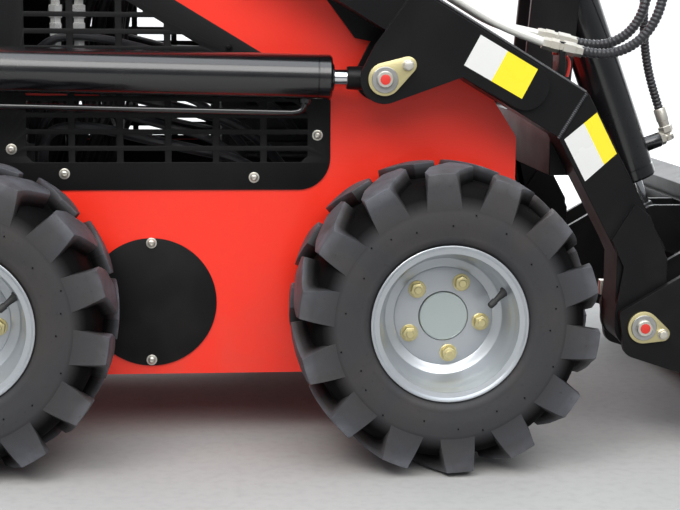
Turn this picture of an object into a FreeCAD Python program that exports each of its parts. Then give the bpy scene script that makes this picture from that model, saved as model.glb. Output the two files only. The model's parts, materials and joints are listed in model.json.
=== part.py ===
"""Compact stand-on skid steer loader, modelled as a parametric FreeCAD document.

Millimetres, +X forward, +Z up, ground at Z = 0.  Every outline below is drawn
from the middle of the wheelbase; each finished sub-part is then set into the
machine's own frame, whose origin lies on the ground under the middle of the
overall length.  The machine's right side faces -Y.
"""
import FreeCAD, Part

import math
import os
import re

import Sketcher

VECTOR = FreeCAD.Vector

# Driving dimensions: alias, millimetres or degrees, what it sizes
SIZES = [
    ("wheelbase", 711, "front axle to rear axle"),
    ("tyre_gap", 26, "tyre to the side plate"),
    ("tyre_radius", 228.5, "ground to axle, out to the lugs' tips"),
    ("tyre_half_width", 107, "half the section width"),
    ("tread_radius", 205, "carcass under the lugs"),
    ("shoulder_radius", 194, "carcass edge under the lugs"),
    ("lug_foot_radius", 181, "where a lug ends on the sidewall"),
    ("lug_half_length", 38, "half a lug round the tread"),
    ("lug_width", 28, "a lug across its bar"),
    ("lug_count", 14, "lugs on each half of the tread"),
    ("bead_radius", 103, "rim seat"),
    ("rim_half_width", 99, "rim flange plane from the tyre centre plane"),
    ("flange_radius", 116, "rim flange"),
    ("rim_wall", 5, "rim sheet"),
    ("disc_recess", 68, "rim disc behind the outer flange plane"),
    ("disc_flat_radius", 73.5, "flat of the rim disc"),
    ("cap_radius", 36.7, "hub cap in the disc's bore"),
    ("hub_radius", 50, "hub drum"),
    ("hub_length", 34, "hub drum"),
    ("cap_length", 8, "hub cap out of the disc's back"),
    ("running_gap", 0.3, "between turning and fixed faces"),
    ("axle_tube_radius", 38, "fixed axle tube"),
    ("axle_flange", 24, "flange beyond the axle tube"),
    ("axle_flange_wall", 12, "axle flange"),
    ("axle_depth", 60, "axle tube inside the body"),
    ("body_half_width", 275, "outer face of the side plates"),
    ("side_wall", 8, "side plates"),
    ("frame_wall", 8, "belly, front and rear plates"),
    ("belly_z", 106, "underside of the body"),
    ("rear_x", -430, "rear face of the body"),
    ("front_x", 494, "front face of the body"),
    ("front_z", 483, "top of the upright front face"),
    ("nose_x", 458, "knee of the sloping front"),
    ("nose_z", 539, "knee of the sloping front"),
    ("brow_x", 315, "front edge of the hood"),
    ("brow_z", 760, "front edge of the hood"),
    ("hood_rear_x", -190, "hood hinge line"),
    ("hood_rear_z", 1000, "hood hinge line"),
    ("hood_wall", 4, "hood sheet"),
    ("hood_gap", 6, "hood to its neighbours"),
    ("pivot_x", -330, "boom pivot"),
    ("pivot_z", 1057, "boom pivot"),
    ("pivot_pin_radius", 17.5, "boom pivot pin"),
    ("tower_radius", 62, "ear of the side plate round the pivot"),
    ("arm_gap", 15, "side plate to a boom arm"),
    ("arm_width", 75, "boom arm across the machine"),
    ("arm_depth", 80, "boom arm section depth"),
    ("arm_slope", 30.9, "fall of the upper arm in degrees"),
    ("leg_slope", 61.5, "fall of the lower arm in degrees"),
    ("leg_depth", 72, "lower arm section depth"),
    ("elbow_x", 586, "upper corner of the elbow"),
    ("doubler", 8, "doubler plates on the arms"),
    ("lift_pin_x", 271, "lift rod pin"),
    ("lift_pin_z", 576, "lift rod pin"),
    ("lift_base_x", -420, "lift cylinder base pin"),
    ("lift_base_z", 590, "lift cylinder base pin"),
    ("lift_pin_radius", 12.5, "pins of the lift cylinder"),
    ("lift_boss_radius", 36.6, "bracket ear round the lift pin"),
    ("lift_bore_radius", 34.5, "lift cylinder barrel, outside"),
    ("lift_rod_radius", 13, "lift cylinder rod"),
    ("lift_rod_showing", 45, "chrome between the lift barrel and its rod eye"),
    ("eye_radius", 27, "rod and base eyes"),
    ("eye_clearance", 5, "each side of an eye in its bracket"),
    ("tool_pin_x", 677, "hinge pin of the quick-attach frame"),
    ("tool_pin_z", 197, "hinge pin of the quick-attach frame"),
    ("tool_pin_radius", 12.5, "pins of the quick-attach frame"),
    ("leg_end_radius", 38, "round end of the lower arm"),
    ("tilt_pin_x", 793, "tilt rod pin"),
    ("tilt_pin_z", 316, "tilt rod pin"),
    ("tilt_eye_radius", 24, "eyes of the tilt cylinder"),
    ("tilt_base_x", 611, "tilt cylinder base pin"),
    ("tilt_base_z", 804, "tilt cylinder base pin"),
    ("tilt_bore_radius", 41, "tilt cylinder barrel, outside"),
    ("tilt_rod_radius", 14, "tilt cylinder rod"),
    ("tilt_rod_showing", 47, "chrome between the tilt barrel and its rod eye"),
    ("beam_size", 84, "cross tube of the boom, square section"),
    ("beam_x", 587, "centre of the cross tube"),
    ("beam_z", 465, "centre of the cross tube"),
    ("bracket_gap", 92, "between the two tilt bracket plates"),
    ("bracket_wall", 12, "tilt bracket plates"),
    ("ear_wall", 12, "ears of the quick-attach frame"),
    ("ear_radius", 40, "ears of the quick-attach frame round the pin"),
    ("carrier_x", 856, "rear face of the quick-attach plate"),
    ("carrier_wall", 12, "quick-attach plate"),
    ("carrier_half_width", 400, "quick-attach plate"),
    ("carrier_top_z", 346, "top of the quick-attach plate"),
    ("carrier_low_z", 74, "foot of the quick-attach plate"),
    ("bucket_half_width", 530, "outside of the bucket's side plates"),
    ("bucket_wall", 8, "bucket shell"),
    ("bucket_side", 10, "bucket side plates"),
    ("bucket_top_z", 372, "top of the bucket's back"),
    ("bucket_heel_z", 92, "where the back turns into the heel"),
    ("bucket_floor_x", 950, "where the heel meets the floor"),
    ("bucket_floor_z", 8, "underside of the bucket's floor"),
    ("edge_x", 1310, "tip of the cutting edge"),
    ("edge_length", 150, "cutting edge bar, front to back"),
    ("edge_wall", 16, "cutting edge bar"),
    ("grille_left_x", -317, "grille panel"),
    ("grille_right_x", 198, "grille panel"),
    ("grille_low_z", 400, "grille panel"),
    ("grille_shoulder_z", 548.6, "where the panel's front edge starts to slope"),
    ("grille_corner", 50, "rounded lower corners of the panel"),
    ("grille_wall", 3, "grille and cover sheet"),
    ("slot_left_x", -267, "first column of slots"),
    ("slot_low_z", 446, "lowest row of slots"),
    ("slot_length", 64, "slot"),
    ("slot_height", 16, "slot"),
    ("slot_pitch_x", 75.4, "column pitch"),
    ("slot_pitch_z", 26, "row pitch"),
    ("slot_border", 58, "solid band along the sloping edge"),
    ("cover_x", -83, "round access cover"),
    ("cover_z", 222, "round access cover"),
    ("cover_radius", 102, "round access cover"),
    ("platform_hinge_x", -462, "fold of the operator's platform"),
    ("platform_z", 190, "underside of the platform"),
    ("platform_length", 300, "platform, front to back"),
    ("platform_half_width", 230, "platform"),
    ("platform_wall", 6, "platform plate"),
    ("platform_rim", 30, "turned edge of the platform"),
    ("console_gap", 32, "console to the side plates"),
    ("bar_radius", 14, "handlebar tube"),
    ("lever_radius", 6, "control lever stem"),
    ("lever_knob_radius", 14, "control lever knob"),
    ("engine_low_z", 330, "engine feet"),
    ("engine_top_z", 600, "top of the engine block"),
    ("muffler_radius", 46, "muffler on the engine"),
    ("tank_gap", 62, "tanks to the side plates"),
    ("engine_gap", 117, "engine to the side plates"),
    ("engine_rear_x", 30, "engine block"),
    ("engine_length", 350, "engine block"),
    ("muffler_x", 110, "muffler over the engine"),
    ("muffler_length", 270, "muffler across the machine"),
    ("mount_bar", 40, "engine mount bars, front to back"),
    ("tank_front_x", -310, "front faces of the tanks"),
    ("tank_gap_between", 10, "between the two tanks"),
    ("valve_length", 120, "valve block, front to back"),
    ("valve_width", 80, "valve block across the machine"),
    ("valve_height", 60, "valve block"),
    ("valve_gap", 22, "valve block to the side plate"),
    ("port_radius", 11, "hydraulic ports and fittings"),
    ("port_length", 70, "fittings on the valve block"),
    ("pad_half_width", 170, "thigh pad"),
    ("pad_wall", 34, "thigh pad"),
    ("pad_low_z", 700, "thigh pad"),
    ("pad_height", 160, "thigh pad"),
    ("tank_top_z", 520, "top of the tanks"),
    ("shelf_z", 540, "shelf under the valve block"),
    ("shelf_wall", 20, "shelf under the valve block"),
    ("lug_gap", 0.5, "each side of a hinge tube between its lugs"),
    ("hood_tube_half", 160, "hood hinge tube"),
    ("hood_tube_radius", 9, "hood hinge tube"),
    ("platform_tube_half", 150, "platform hinge tube"),
    ("platform_tube_radius", 12, "platform hinge tube"),
    ("hinge_lug", 14, "hinge lugs across the machine"),
    ("eye_width", 60, "lift cylinder eyes across the machine"),
    ("tilt_eye_width", 80, "tilt cylinder eyes"),
    ("rod_tail", 56, "lift base pin to the rod's inner end"),
    ("tilt_rod_tail", 112, "tilt base pin to the rod's inner end"),
    ("bore_start", 44, "base pin to the blind end of a barrel's bore"),
    ("tow_x", -462, "tow eye behind the rear wall"),
    ("tow_z", 124, "underside of the tow eye"),
    ("tow_wall", 15, "tow eye plate"),
    ("tow_bore", 11, "tow eye hole"),
    ("tow_half_width", 40, "tow eye plate"),
    ("pin_head_radius", 20, "pin heads and washers"),
    ("pin_head", 8, "pin heads and washers"),
    ("pipe_radius", 7, "steel pipes on the arm"),
    ("pipe_gap", 10, "pipes to the arm under their clamps"),
    ("pipe_pitch", 30, "between the two pipes"),
    ("feed_pipe_radius", 5, "pipe under a lift barrel"),
    ("feed_gap", 15, "pipe to its barrel"),
    ("hose_radius", 8, "hoses with their guard"),
    ("fitting_radius", 11, "hexagon fittings across their corners"),
    ("boss_radius", 14, "port bosses of a barrel"),
    ("boss_reach", 31, "port bosses out of a barrel"),
    ("elbow_reach", 48, "elbow of the tilt cylinder's rod-side port"),
    ("louvre_length", 150, "louvre slots of the hood"),
    ("louvre_width", 12, "louvre slots of the hood"),
    ("louvre_pitch", 36, "louvre slots of the hood"),
]

# Layout values worked out from the driving dimensions: alias, formula
LAYOUT = [
    ("arm_inner", "body_half_width + arm_gap"),
    ("tyre_offset", "body_half_width + tyre_gap + tyre_half_width"),
    ("console_half_width", "body_half_width - side_wall - console_gap"),
    ("tank_half_width", "body_half_width - side_wall - tank_gap"),
    ("engine_half_width", "body_half_width - side_wall - engine_gap"),
    ("cylinder_offset", "arm_inner + arm_width / 2"),
    ("origin_shift", "-(edge_x + platform_hinge_x - platform_length) / 2"),
    ("arm_outer", "arm_inner + arm_width"),
    ("arm_drop", "arm_depth / cos(arm_slope)"),
    ("elbow_z", "pivot_z + arm_drop / 2 - (elbow_x - pivot_x) * tan(arm_slope)"),
    ("leg_cos", "cos(leg_slope)"),
    ("leg_sin", "sin(leg_slope)"),
    ("elbow_step", "(arm_drop - leg_depth * (leg_cos + leg_sin * tan(arm_slope)))"
                   " / (leg_sin - leg_cos * tan(arm_slope))"),
    ("elbow_inner_x", "elbow_x - leg_depth * leg_sin + elbow_step * leg_cos"),
    ("elbow_inner_z", "elbow_z - leg_depth * leg_cos - elbow_step * leg_sin"),
    ("axle_x", "wheelbase / 2"),
    ("lug_top", "sqrt(tyre_radius^2 - lug_half_length^2)"),
    ("axle_z", "tyre_radius * cos(180 deg / lug_count - asin(lug_half_length / tyre_radius))"),
    ("disc_back", "tyre_offset + rim_half_width - disc_recess - rim_wall"),
    ("hub_back", "disc_back - hub_length"),
    ("boss_length", "arm_inner - body_half_width - 0.3"),
    ("lift_length", "sqrt((lift_pin_x - lift_base_x)^2 + (lift_pin_z - lift_base_z)^2)"),
    ("tilt_length", "sqrt((tilt_pin_x - tilt_base_x)^2 + (tilt_pin_z - tilt_base_z)^2)"),
    ("lift_barrel_length", "lift_length - eye_radius - lift_rod_showing"),
    ("tilt_barrel_length", "tilt_length - tilt_eye_radius - tilt_rod_showing"),
    ("tilt_port", "tilt_barrel_length - 56"),
    ("base_port", "eye_radius + 35"),
    ("feed_drop", "lift_bore_radius + feed_gap + feed_pipe_radius"),
]

doc = FreeCAD.newDocument("SkidSteerLoader")


def make_sheets():
    """Write the driving sizes and the layout formulas into two sheets."""
    home = {}
    sizes = doc.addObject("Spreadsheet::Sheet", "Sizes")
    for row, (alias, number, note) in enumerate(SIZES, start=1):
        sizes.set(f"A{row}", note)
        sizes.set(f"B{row}", str(number))
        sizes.setAlias(f"B{row}", alias)
        home[alias] = "Sizes"
    layout = doc.addObject("Spreadsheet::Sheet", "Layout")
    for row, (alias, formula) in enumerate(LAYOUT, start=1):
        layout.set(f"B{row}", "=" + WORD.sub(lambda word: prefixed(word.group(), home, "Layout"), formula))
        layout.setAlias(f"B{row}", alias)
        home[alias] = "Layout"
    doc.recompute()
    return home


WORD = re.compile(r"[A-Za-z_][A-Za-z_0-9]*")


def prefixed(word, home, here=""):
    """Put the sheet's name before an alias; leave functions as they are."""
    sheet = home.get(word)
    if sheet is None or sheet == here:
        return word
    return f"{sheet}.{word}"


HOME = make_sheets()


def tie(formula):
    """Turn a formula in aliases into an expression the document understands."""
    return WORD.sub(lambda word: prefixed(word.group(), HOME), str(formula))


def value(formula):
    """Work out a formula in aliases as a plain number."""
    result = doc.getObject("Sizes").evalExpression(tie(formula))
    return float(getattr(result, "Value", result))


# Tools for drawing: sketches, pads, primitives, mirrors and copies


def new_body(name, base=None):
    """Start an empty body whose label names its file."""
    body = doc.addObject("PartDesign::Body", name)
    body.Label = name
    if base is not None:
        body.BaseFeature = base
    return body


def origin_of(body, role):
    """Find one of the body's own origin planes or axes by its role."""
    return next(item for item in body.Origin.OriginFeatures if item.Role == role)


def new_sketch(body, role, offset="0"):
    """Attach a sketch to an origin plane, moved along the plane's normal."""
    sketch = body.newObject("Sketcher::SketchObject", "Sketch")
    sketch.AttachmentSupport = [(origin_of(body, role), "")]
    sketch.MapMode = "FlatFace"
    sketch.setExpression("AttachmentOffset.Base.z", tie(offset))
    return sketch


def draw_outline(sketch, corners):
    """Draw a closed outline and tie each corner to its two formulas."""
    spots = [VECTOR(value(corner[0]), value(corner[1]), 0) for corner in corners]
    first = sketch.GeometryCount
    for index, spot in enumerate(spots):
        sketch.addGeometry(Part.LineSegment(spot, spots[(index + 1) % len(spots)]))
    for index in range(len(spots)):
        following = first + (index + 1) % len(spots)
        sketch.addConstraint(Sketcher.Constraint("Coincident", first + index, 2, following, 1))
    for index, (corner, spot) in enumerate(zip(corners, spots)):
        fix_point(sketch, first + index, 1, corner, spot)


def draw_circle(sketch, across, up, radius):
    """Draw a circle with its centre and radius tied to formulas."""
    spot = VECTOR(value(across), value(up), 0)
    circle = sketch.addGeometry(Part.Circle(spot, VECTOR(0, 0, 1), value(radius)))
    fix_point(sketch, circle, 3, (across, up), spot)
    row = sketch.addConstraint(Sketcher.Constraint("Radius", circle, value(radius)))
    sketch.setExpression(f"Constraints[{row}]", tie(radius))


def fix_point(sketch, line, end, formulas, spot):
    """Tie one point of a sketch to its horizontal and vertical formulas."""
    for kind, formula, number in (("DistanceX", formulas[0], spot.x), ("DistanceY", formulas[1], spot.y)):
        row = sketch.addConstraint(Sketcher.Constraint(kind, -1, 1, line, end, number))
        sketch.setExpression(f"Constraints[{row}]", tie(formula))


def add_pad(body, sketch, length, both_ways=False, reverse=False):
    """Extrude a sketch along its normal."""
    pad = body.newObject("PartDesign::Pad", "Pad")
    pad.Profile = sketch
    pad.setExpression("Length", tie(length))
    pad.Midplane = both_ways
    pad.Reversed = reverse
    sketch.Visibility = False
    doc.recompute()
    return pad


def add_pocket(body, sketch, length, both_ways=False, reverse=False):
    """Cut a sketch out of the body; the cut must take material away."""
    before = body.Shape.Volume
    pocket = body.newObject("PartDesign::Pocket", "Pocket")
    pocket.Profile = sketch
    pocket.setExpression("Length", tie(length))
    pocket.Midplane = both_ways
    pocket.Reversed = reverse
    doc.recompute()
    if not body.Shape.Volume < before:
        raise RuntimeError(f"a pocket of {body.Label} cuts nothing")
    return pocket


def add_turn(body, sketch, axis="H_Axis"):
    """Turn a sketch once round one of its own axes."""
    turn = body.newObject("PartDesign::Revolution", "Turn")
    turn.Profile = sketch
    turn.ReferenceAxis = (sketch, [axis])
    turn.Angle = 360
    doc.recompute()
    return turn


# Sketch axes in body space, by plane: across, up, normal
PLANE_AXES = {
    "XY_Plane": (VECTOR(1, 0, 0), VECTOR(0, 1, 0), VECTOR(0, 0, 1)),
    "XZ_Plane": (VECTOR(1, 0, 0), VECTOR(0, 0, 1), VECTOR(0, -1, 0)),
    "YZ_Plane": (VECTOR(0, 1, 0), VECTOR(0, 0, 1), VECTOR(1, 0, 0)),
}


def round_corners(body, role, corners):
    """Fillet the edges that stand on the corners given with a radius."""
    across, up, normal = PLANE_AXES[role]
    for radius in dict.fromkeys(corner[2] for corner in corners if len(corner) > 2):
        spots = [(value(corner[0]), value(corner[1])) for corner in corners if corner[2:] == (radius,)]
        feature = body.Tip
        names = []
        for number, edge in enumerate(feature.Shape.Edges, start=1):
            if not isinstance(edge.Curve, Part.Line) or abs(abs(edge.Curve.Direction.dot(normal)) - 1) > 1e-6:
                continue
            point = edge.Vertexes[0].Point
            if any(math.hypot(point.dot(across) - spot[0], point.dot(up) - spot[1]) < 1e-4 for spot in spots):
                names.append(f"Edge{number}")
        fillet = body.newObject("PartDesign::Fillet", "Round")
        fillet.Base = (feature, names)
        fillet.setExpression("Radius", tie(radius))
        doc.recompute()


def plate(name, role, corners, offset, thickness, both_ways=False, holes=()):
    """Make a flat piece: an outline with rounded corners and round holes."""
    body = new_body(name)
    sketch = new_sketch(body, role, offset)
    draw_outline(sketch, corners)
    for hole in holes:
        draw_circle(sketch, *hole)
    add_pad(body, sketch, thickness, both_ways)
    round_corners(body, role, corners)
    return body


def box(name, low, high):
    """Make a box between two corners given as formulas."""
    solid = doc.addObject("Part::Box", name)
    for prop, axis, start, end in zip(("Length", "Width", "Height"), "xyz", low, high):
        solid.setExpression(prop, tie(f"({end}) - ({start})"))
        solid.setExpression(f"Placement.Base.{axis}", tie(start))
    return solid


TURNS = {"x": (VECTOR(0, 1, 0), 90), "y": (VECTOR(1, 0, 0), -90), "z": (VECTOR(0, 0, 1), 0)}


def rod(name, centre, axis, radius, start, end):
    """Make a round bar along an axis between two places on that axis."""
    solid = doc.addObject("Part::Cylinder", name)
    solid.Placement = FreeCAD.Placement(VECTOR(), FreeCAD.Rotation(*TURNS[axis]))
    solid.setExpression("Radius", tie(radius))
    solid.setExpression("Height", tie(f"({end}) - ({start})"))
    places = list(centre)
    places.insert("xyz".index(axis), start)
    for letter, place in zip("xyz", places):
        solid.setExpression(f"Placement.Base.{letter}", tie(place))
    return solid


def fuse(name, *pieces):
    """Join pieces of one sub-part."""
    joined = doc.addObject("Part::MultiFuse", name)
    joined.Shapes = list(pieces)
    joined.Refine = True
    return joined


def cut(name, base, tool):
    """Take one shape out of another."""
    result = doc.addObject("Part::Cut", name)
    result.Base = base
    result.Tool = tool
    return result


def group(name, *pieces):
    """Hold several separate solids of one sub-part."""
    gathered = doc.addObject("Part::Compound", name)
    gathered.Links = list(pieces)
    return gathered


RUNS = {}


def run(name, spots, radius, sides=0):
    """Sweep a round or many-sided section along straight runs joined by tangent arcs."""
    points = [VECTOR(*(value(place) for place in spot)) for spot in spots]
    edges, bends, start = [], [], points[0]
    for before, corner, after in zip(points, points[1:], points[2:]):
        into, out = (corner - before).normalize(), (after - corner).normalize()
        half = into.getAngle(out) / 2
        reach = 0.45 * min(before.distanceToPoint(corner), corner.distanceToPoint(after))
        bend = reach / math.tan(half)
        bends.append(bend)
        first, last = corner - into * reach, corner + out * reach
        middle = corner + (out - into).normalize() * (bend / math.cos(half) - bend)
        edges += [Part.LineSegment(start, first).toShape(), Part.Arc(first, middle, last).toShape()]
        start = last
    edges.append(Part.LineSegment(start, points[-1]).toShape())
    path = doc.addObject("Part::Feature", f"{name}Path")
    path.Shape = Part.Wire(edges)
    RUNS[name] = (path.Shape.Length, bends)
    if sides:
        section = doc.addObject("Part::RegularPolygon", f"{name}Section")
        section.Polygon = sides
        section.setExpression("Circumradius", tie(radius))
    else:
        section = doc.addObject("Part::Circle", f"{name}Section")
        section.setExpression("Radius", tie(radius))
    section.Placement = FreeCAD.Placement(points[0], FreeCAD.Rotation(VECTOR(0, 0, 1), points[1] - points[0]))
    sweep = doc.addObject("Part::Sweep", name)
    sweep.Sections = [section]
    sweep.Spine = (path, [f"Edge{number}" for number in range(1, len(edges) + 1)])
    sweep.Solid = True
    sweep.Frenet = True
    return sweep


NODES = {}


def keep(name, piece, shift=True):
    """Label a finished sub-part and set it into the machine's own frame."""
    if shift and piece.TypeId in ("Part::Box", "Part::Cylinder"):
        piece = group(name, piece)
    piece.Label = name
    if shift:
        piece.setExpression("Placement.Base.x", tie("origin_shift"))
    NODES[name] = piece
    return piece


def mirrored(name, source):
    """Mirror a piece to the other side of the machine."""
    image = doc.addObject("Part::Mirroring", name)
    image.Source = source
    image.Base = VECTOR()
    image.Normal = VECTOR(0, 1, 0)
    return image


def keep_mirrored(name, source):
    """Make the left sub-part as the mirror image of the right one."""
    return keep(name, mirrored(name, source), shift=False)


def keep_both(name, *pieces):
    """Keep right-hand pieces and their mirror images as one sub-part."""
    images = [mirrored(f"{piece.Name}Left", piece) for piece in pieces]
    return keep(name, group(name, *pieces, *images))


def keep_pair(stem, piece):
    """Keep a right-hand sub-part and its mirror image on the left."""
    keep_mirrored(f"{stem}_left", keep(f"{stem}_right", piece))


# Wheels, each drawn round the Y axis and then copied to its axle


def flat_ring(stations, sides):
    """Close a ring of flat faces through stations of (place along Y, radius)."""
    rings = []
    for place, radius in stations:
        turns = [2 * math.pi * step / sides for step in range(sides)]
        rings.append([VECTOR(radius * math.sin(turn), place, radius * math.cos(turn)) for turn in turns])
    faces = []
    for ring, following in zip(rings, rings[1:] + rings[:1]):
        for step in range(sides):
            after = (step + 1) % sides
            corners = [ring[step], ring[after], following[after], following[step], ring[step]]
            faces.append(Part.Face(Part.makePolygon(corners)))
    return Part.Solid(Part.Shell(faces))


def tyre_carcass():
    """Make the tyre without its lugs: bead, bulged sidewalls, tread."""
    sides = 2 * int(value("lug_count"))
    bead = value("bead_radius + running_gap") / math.cos(math.pi / sides)
    half_section = [
        (value("rim_half_width - rim_wall - running_gap"), bead),
        (value("tyre_half_width"), value("(bead_radius + lug_foot_radius) / 2")),
        (value("tyre_half_width - 6"), value("shoulder_radius")),
    ]
    centre = value("-tyre_offset")
    stations = [(centre - place, radius) for place, radius in half_section]
    stations += [(centre + place, radius) for place, radius in reversed(half_section)]
    carcass = doc.addObject("Part::Feature", "Carcass")
    carcass.Shape = flat_ring(stations, sides)
    return carcass


# One lug seen from above at the top of the wheel: towards the front, out from the middle
LUG_OUTLINE = [
    ("lug_half_length - 4", "4"),
    ("lug_half_length - 5", "0.3 * tyre_half_width"),
    ("-lug_half_length + lug_width", "tyre_half_width + 1"),
    ("-lug_half_length", "tyre_half_width + 1"),
    ("-0.4 * lug_half_length", "0.47 * tyre_half_width"),
    ("lug_half_length - lug_width + 2", "4"),
]


def add_lugs(body, side, phase):
    """Pad one lug from its flat top inwards and repeat it round the axle."""
    sketch = new_sketch(body, "XY_Plane")
    turn = math.radians(phase)
    height = value("lug_top")
    spot = VECTOR(height * math.sin(turn), 0, height * math.cos(turn))
    sketch.setExpression("AttachmentOffset.Base.z", None)
    sketch.AttachmentOffset = FreeCAD.Placement(spot, FreeCAD.Rotation(VECTOR(0, 1, 0), phase))
    draw_outline(sketch, [(ahead, f"-tyre_offset - {side} * ({out})") for ahead, out in LUG_OUTLINE])
    pad = add_pad(body, sketch, "lug_top - lug_foot_radius", reverse=True)
    ring = body.newObject("PartDesign::PolarPattern", "LugRing")
    ring.Originals = [pad]
    ring.Axis = (origin_of(body, "Y_Axis"), [""])
    ring.Angle = 360
    ring.setExpression("Occurrences", tie("lug_count"))
    body.Tip = ring
    doc.recompute()


def make_tyre():
    """Make a tyre with two staggered rings of angled lugs."""
    body = new_body("Tyre", tyre_carcass())
    doc.recompute()
    add_lugs(body, 1, 0)
    add_lugs(body, -1, 180 / value("lug_count"))
    return body


def make_rim():
    """Turn the rim: two flared lips, a bead seat and a recessed disc with a bore."""
    body = new_body("Rim")
    sketch = new_sketch(body, "YZ_Plane")
    inner = "bead_radius - rim_wall"
    disc = "rim_half_width - disc_recess"
    section = [
        ("rim_half_width", "flange_radius"),
        ("rim_half_width - rim_wall", "bead_radius"),
        ("-rim_half_width + rim_wall", "bead_radius"),
        ("-rim_half_width", "flange_radius"),
        ("-rim_half_width", inner),
        (f"{disc} - rim_wall", inner),
        (f"{disc} - rim_wall", "cap_radius"),
        (disc, "cap_radius"),
        (disc, "disc_flat_radius"),
        (f"{disc} + 2 * rim_wall", inner),
        ("rim_half_width", inner),
    ]
    draw_outline(sketch, [(f"-tyre_offset - ({place})", radius) for place, radius in section])
    add_turn(body, sketch)
    return body


def make_hub():
    """Turn the hub: drum, flange behind the rim disc, cap through its bore."""
    body = new_body("Hub")
    sketch = new_sketch(body, "YZ_Plane")
    section = [
        ("hub_back", "0"),
        ("hub_back", "hub_radius"),
        ("disc_back", "hub_radius"),
        ("disc_back", "cap_radius"),
        ("disc_back + cap_length", "cap_radius"),
        ("disc_back + cap_length", "0"),
    ]
    draw_outline(sketch, [(f"-({place})", radius) for place, radius in section])
    add_turn(body, sketch)
    return body


def keep_wheels():
    """Copy the wheel's three sub-parts to the four corners."""
    pieces = {"tyre": make_tyre(), "rim": make_rim(), "hub": make_hub()}
    for stem, piece in pieces.items():
        for end, sign in (("front", "+"), ("rear", "-")):
            copy = group(f"{stem}_{end}_right", piece)
            copy.setExpression("Placement.Base.z", tie("axle_z"))
            copy.setExpression("Placement.Base.x", tie(f"origin_shift {sign} axle_x"))
            keep(f"{stem}_{end}_right", copy, shift=False)
            keep_mirrored(f"{stem}_{end}_left", copy)


# Body: side plates, frame, panels


def make_side_plate():
    """Pad the red side plate with its tower, grille window, pivot boss and cover hole."""
    corners = [
        ("rear_x", "belly_z"),
        ("front_x", "belly_z", "12"),
        ("front_x", "front_z", "20"),
        ("nose_x", "nose_z", "20"),
        ("brow_x", "brow_z", "20"),
        ("hood_rear_x + 40", "hood_rear_z - 20"),
        ("pivot_x + tower_radius", "pivot_z + tower_radius", "tower_radius - 1"),
        ("pivot_x - tower_radius", "pivot_z + tower_radius", "tower_radius - 1"),
        ("rear_x", "pivot_z - 160"),
    ]
    body = new_body("side_plate")
    sketch = new_sketch(body, "XZ_Plane", "body_half_width - side_wall")
    draw_outline(sketch, corners)
    add_pad(body, sketch, "side_wall")
    round_corners(body, "XZ_Plane", corners)
    window = new_sketch(body, "XZ_Plane", "body_half_width")
    edge = "(slot_border - 14)"
    slope = "tan(arm_slope)"
    draw_outline(window, [
        ("grille_left_x + 40", "grille_low_z + 36"),
        ("grille_right_x - 28", "grille_low_z + 36"),
        ("grille_right_x - 28", f"grille_shoulder_z - {edge} + 28 * {slope}"),
        ("grille_left_x + 40",
         f"grille_shoulder_z - {edge} + (grille_right_x - grille_left_x - 40) * {slope}"),
    ])
    add_pocket(body, window, "side_wall")
    access = new_sketch(body, "XZ_Plane", "body_half_width")
    draw_circle(access, "cover_x", "cover_z", "cover_radius - 20")
    add_pocket(body, access, "side_wall")
    boss = new_sketch(body, "XZ_Plane", "body_half_width")
    draw_circle(boss, "pivot_x", "pivot_z", "tower_radius - 18")
    draw_circle(boss, "lift_base_x", "lift_base_z", "eye_radius")
    add_pad(body, boss, "boss_length")
    bore = new_sketch(body, "XZ_Plane", "arm_inner")
    draw_circle(bore, "pivot_x", "pivot_z", "pivot_pin_radius + 0.05")
    draw_circle(bore, "lift_base_x", "lift_base_z", "lift_pin_radius")
    for axle in ("axle_x", "-axle_x"):
        draw_circle(bore, axle, "axle_z", "axle_tube_radius")
    add_pocket(body, bore, "arm_inner - body_half_width + side_wall")
    return body


def make_frame():
    """Make the belly, front, rear and deck plates between the side plates."""
    half = "body_half_width - side_wall"
    wall = "frame_wall"
    tray = [
        ("rear_x", "belly_z"),
        ("front_x - 1", "belly_z"),
        ("front_x - 1", "front_z"),
        ("nose_x - 1", "nose_z"),
        (f"brow_x + hood_gap", f"brow_z - hood_gap"),
        (f"brow_x + hood_gap - {wall}", f"brow_z - hood_gap - {wall}"),
        (f"nose_x - {wall} - 2", f"nose_z - {wall} / 2"),
        (f"front_x - {wall} - 1", f"front_z - {wall} / 2"),
        (f"front_x - {wall} - 1", f"belly_z + {wall}"),
        (f"rear_x + {wall}", f"belly_z + {wall}"),
        (f"rear_x + {wall}", "hood_rear_z - 120"),
        ("rear_x", "hood_rear_z - 120"),
    ]
    body = new_body("FrameTray")
    sketch = new_sketch(body, "XZ_Plane")
    draw_outline(sketch, tray)
    add_pad(body, sketch, f"2 * ({half})", both_ways=True)
    pieces = [body]
    inside = "body_half_width - side_wall"
    for name, place in (("MountRear", "engine_rear_x + 10"), ("MountFront", "engine_rear_x + engine_length - 50")):
        pieces.append(box(name, (place, f"-({inside})", "engine_low_z - 30"),
                          (f"{place} + mount_bar", inside, "engine_low_z")))
    pieces.append(box("ValveShelf", ("tank_front_x", f"-({inside})", "shelf_z"),
                      ("tank_front_x + valve_length + 30", f"-({inside}) + valve_width + 27", "shelf_z + shelf_wall")))
    return fuse("chassis_frame", *pieces)


SLOT_COLUMNS = 6


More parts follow.
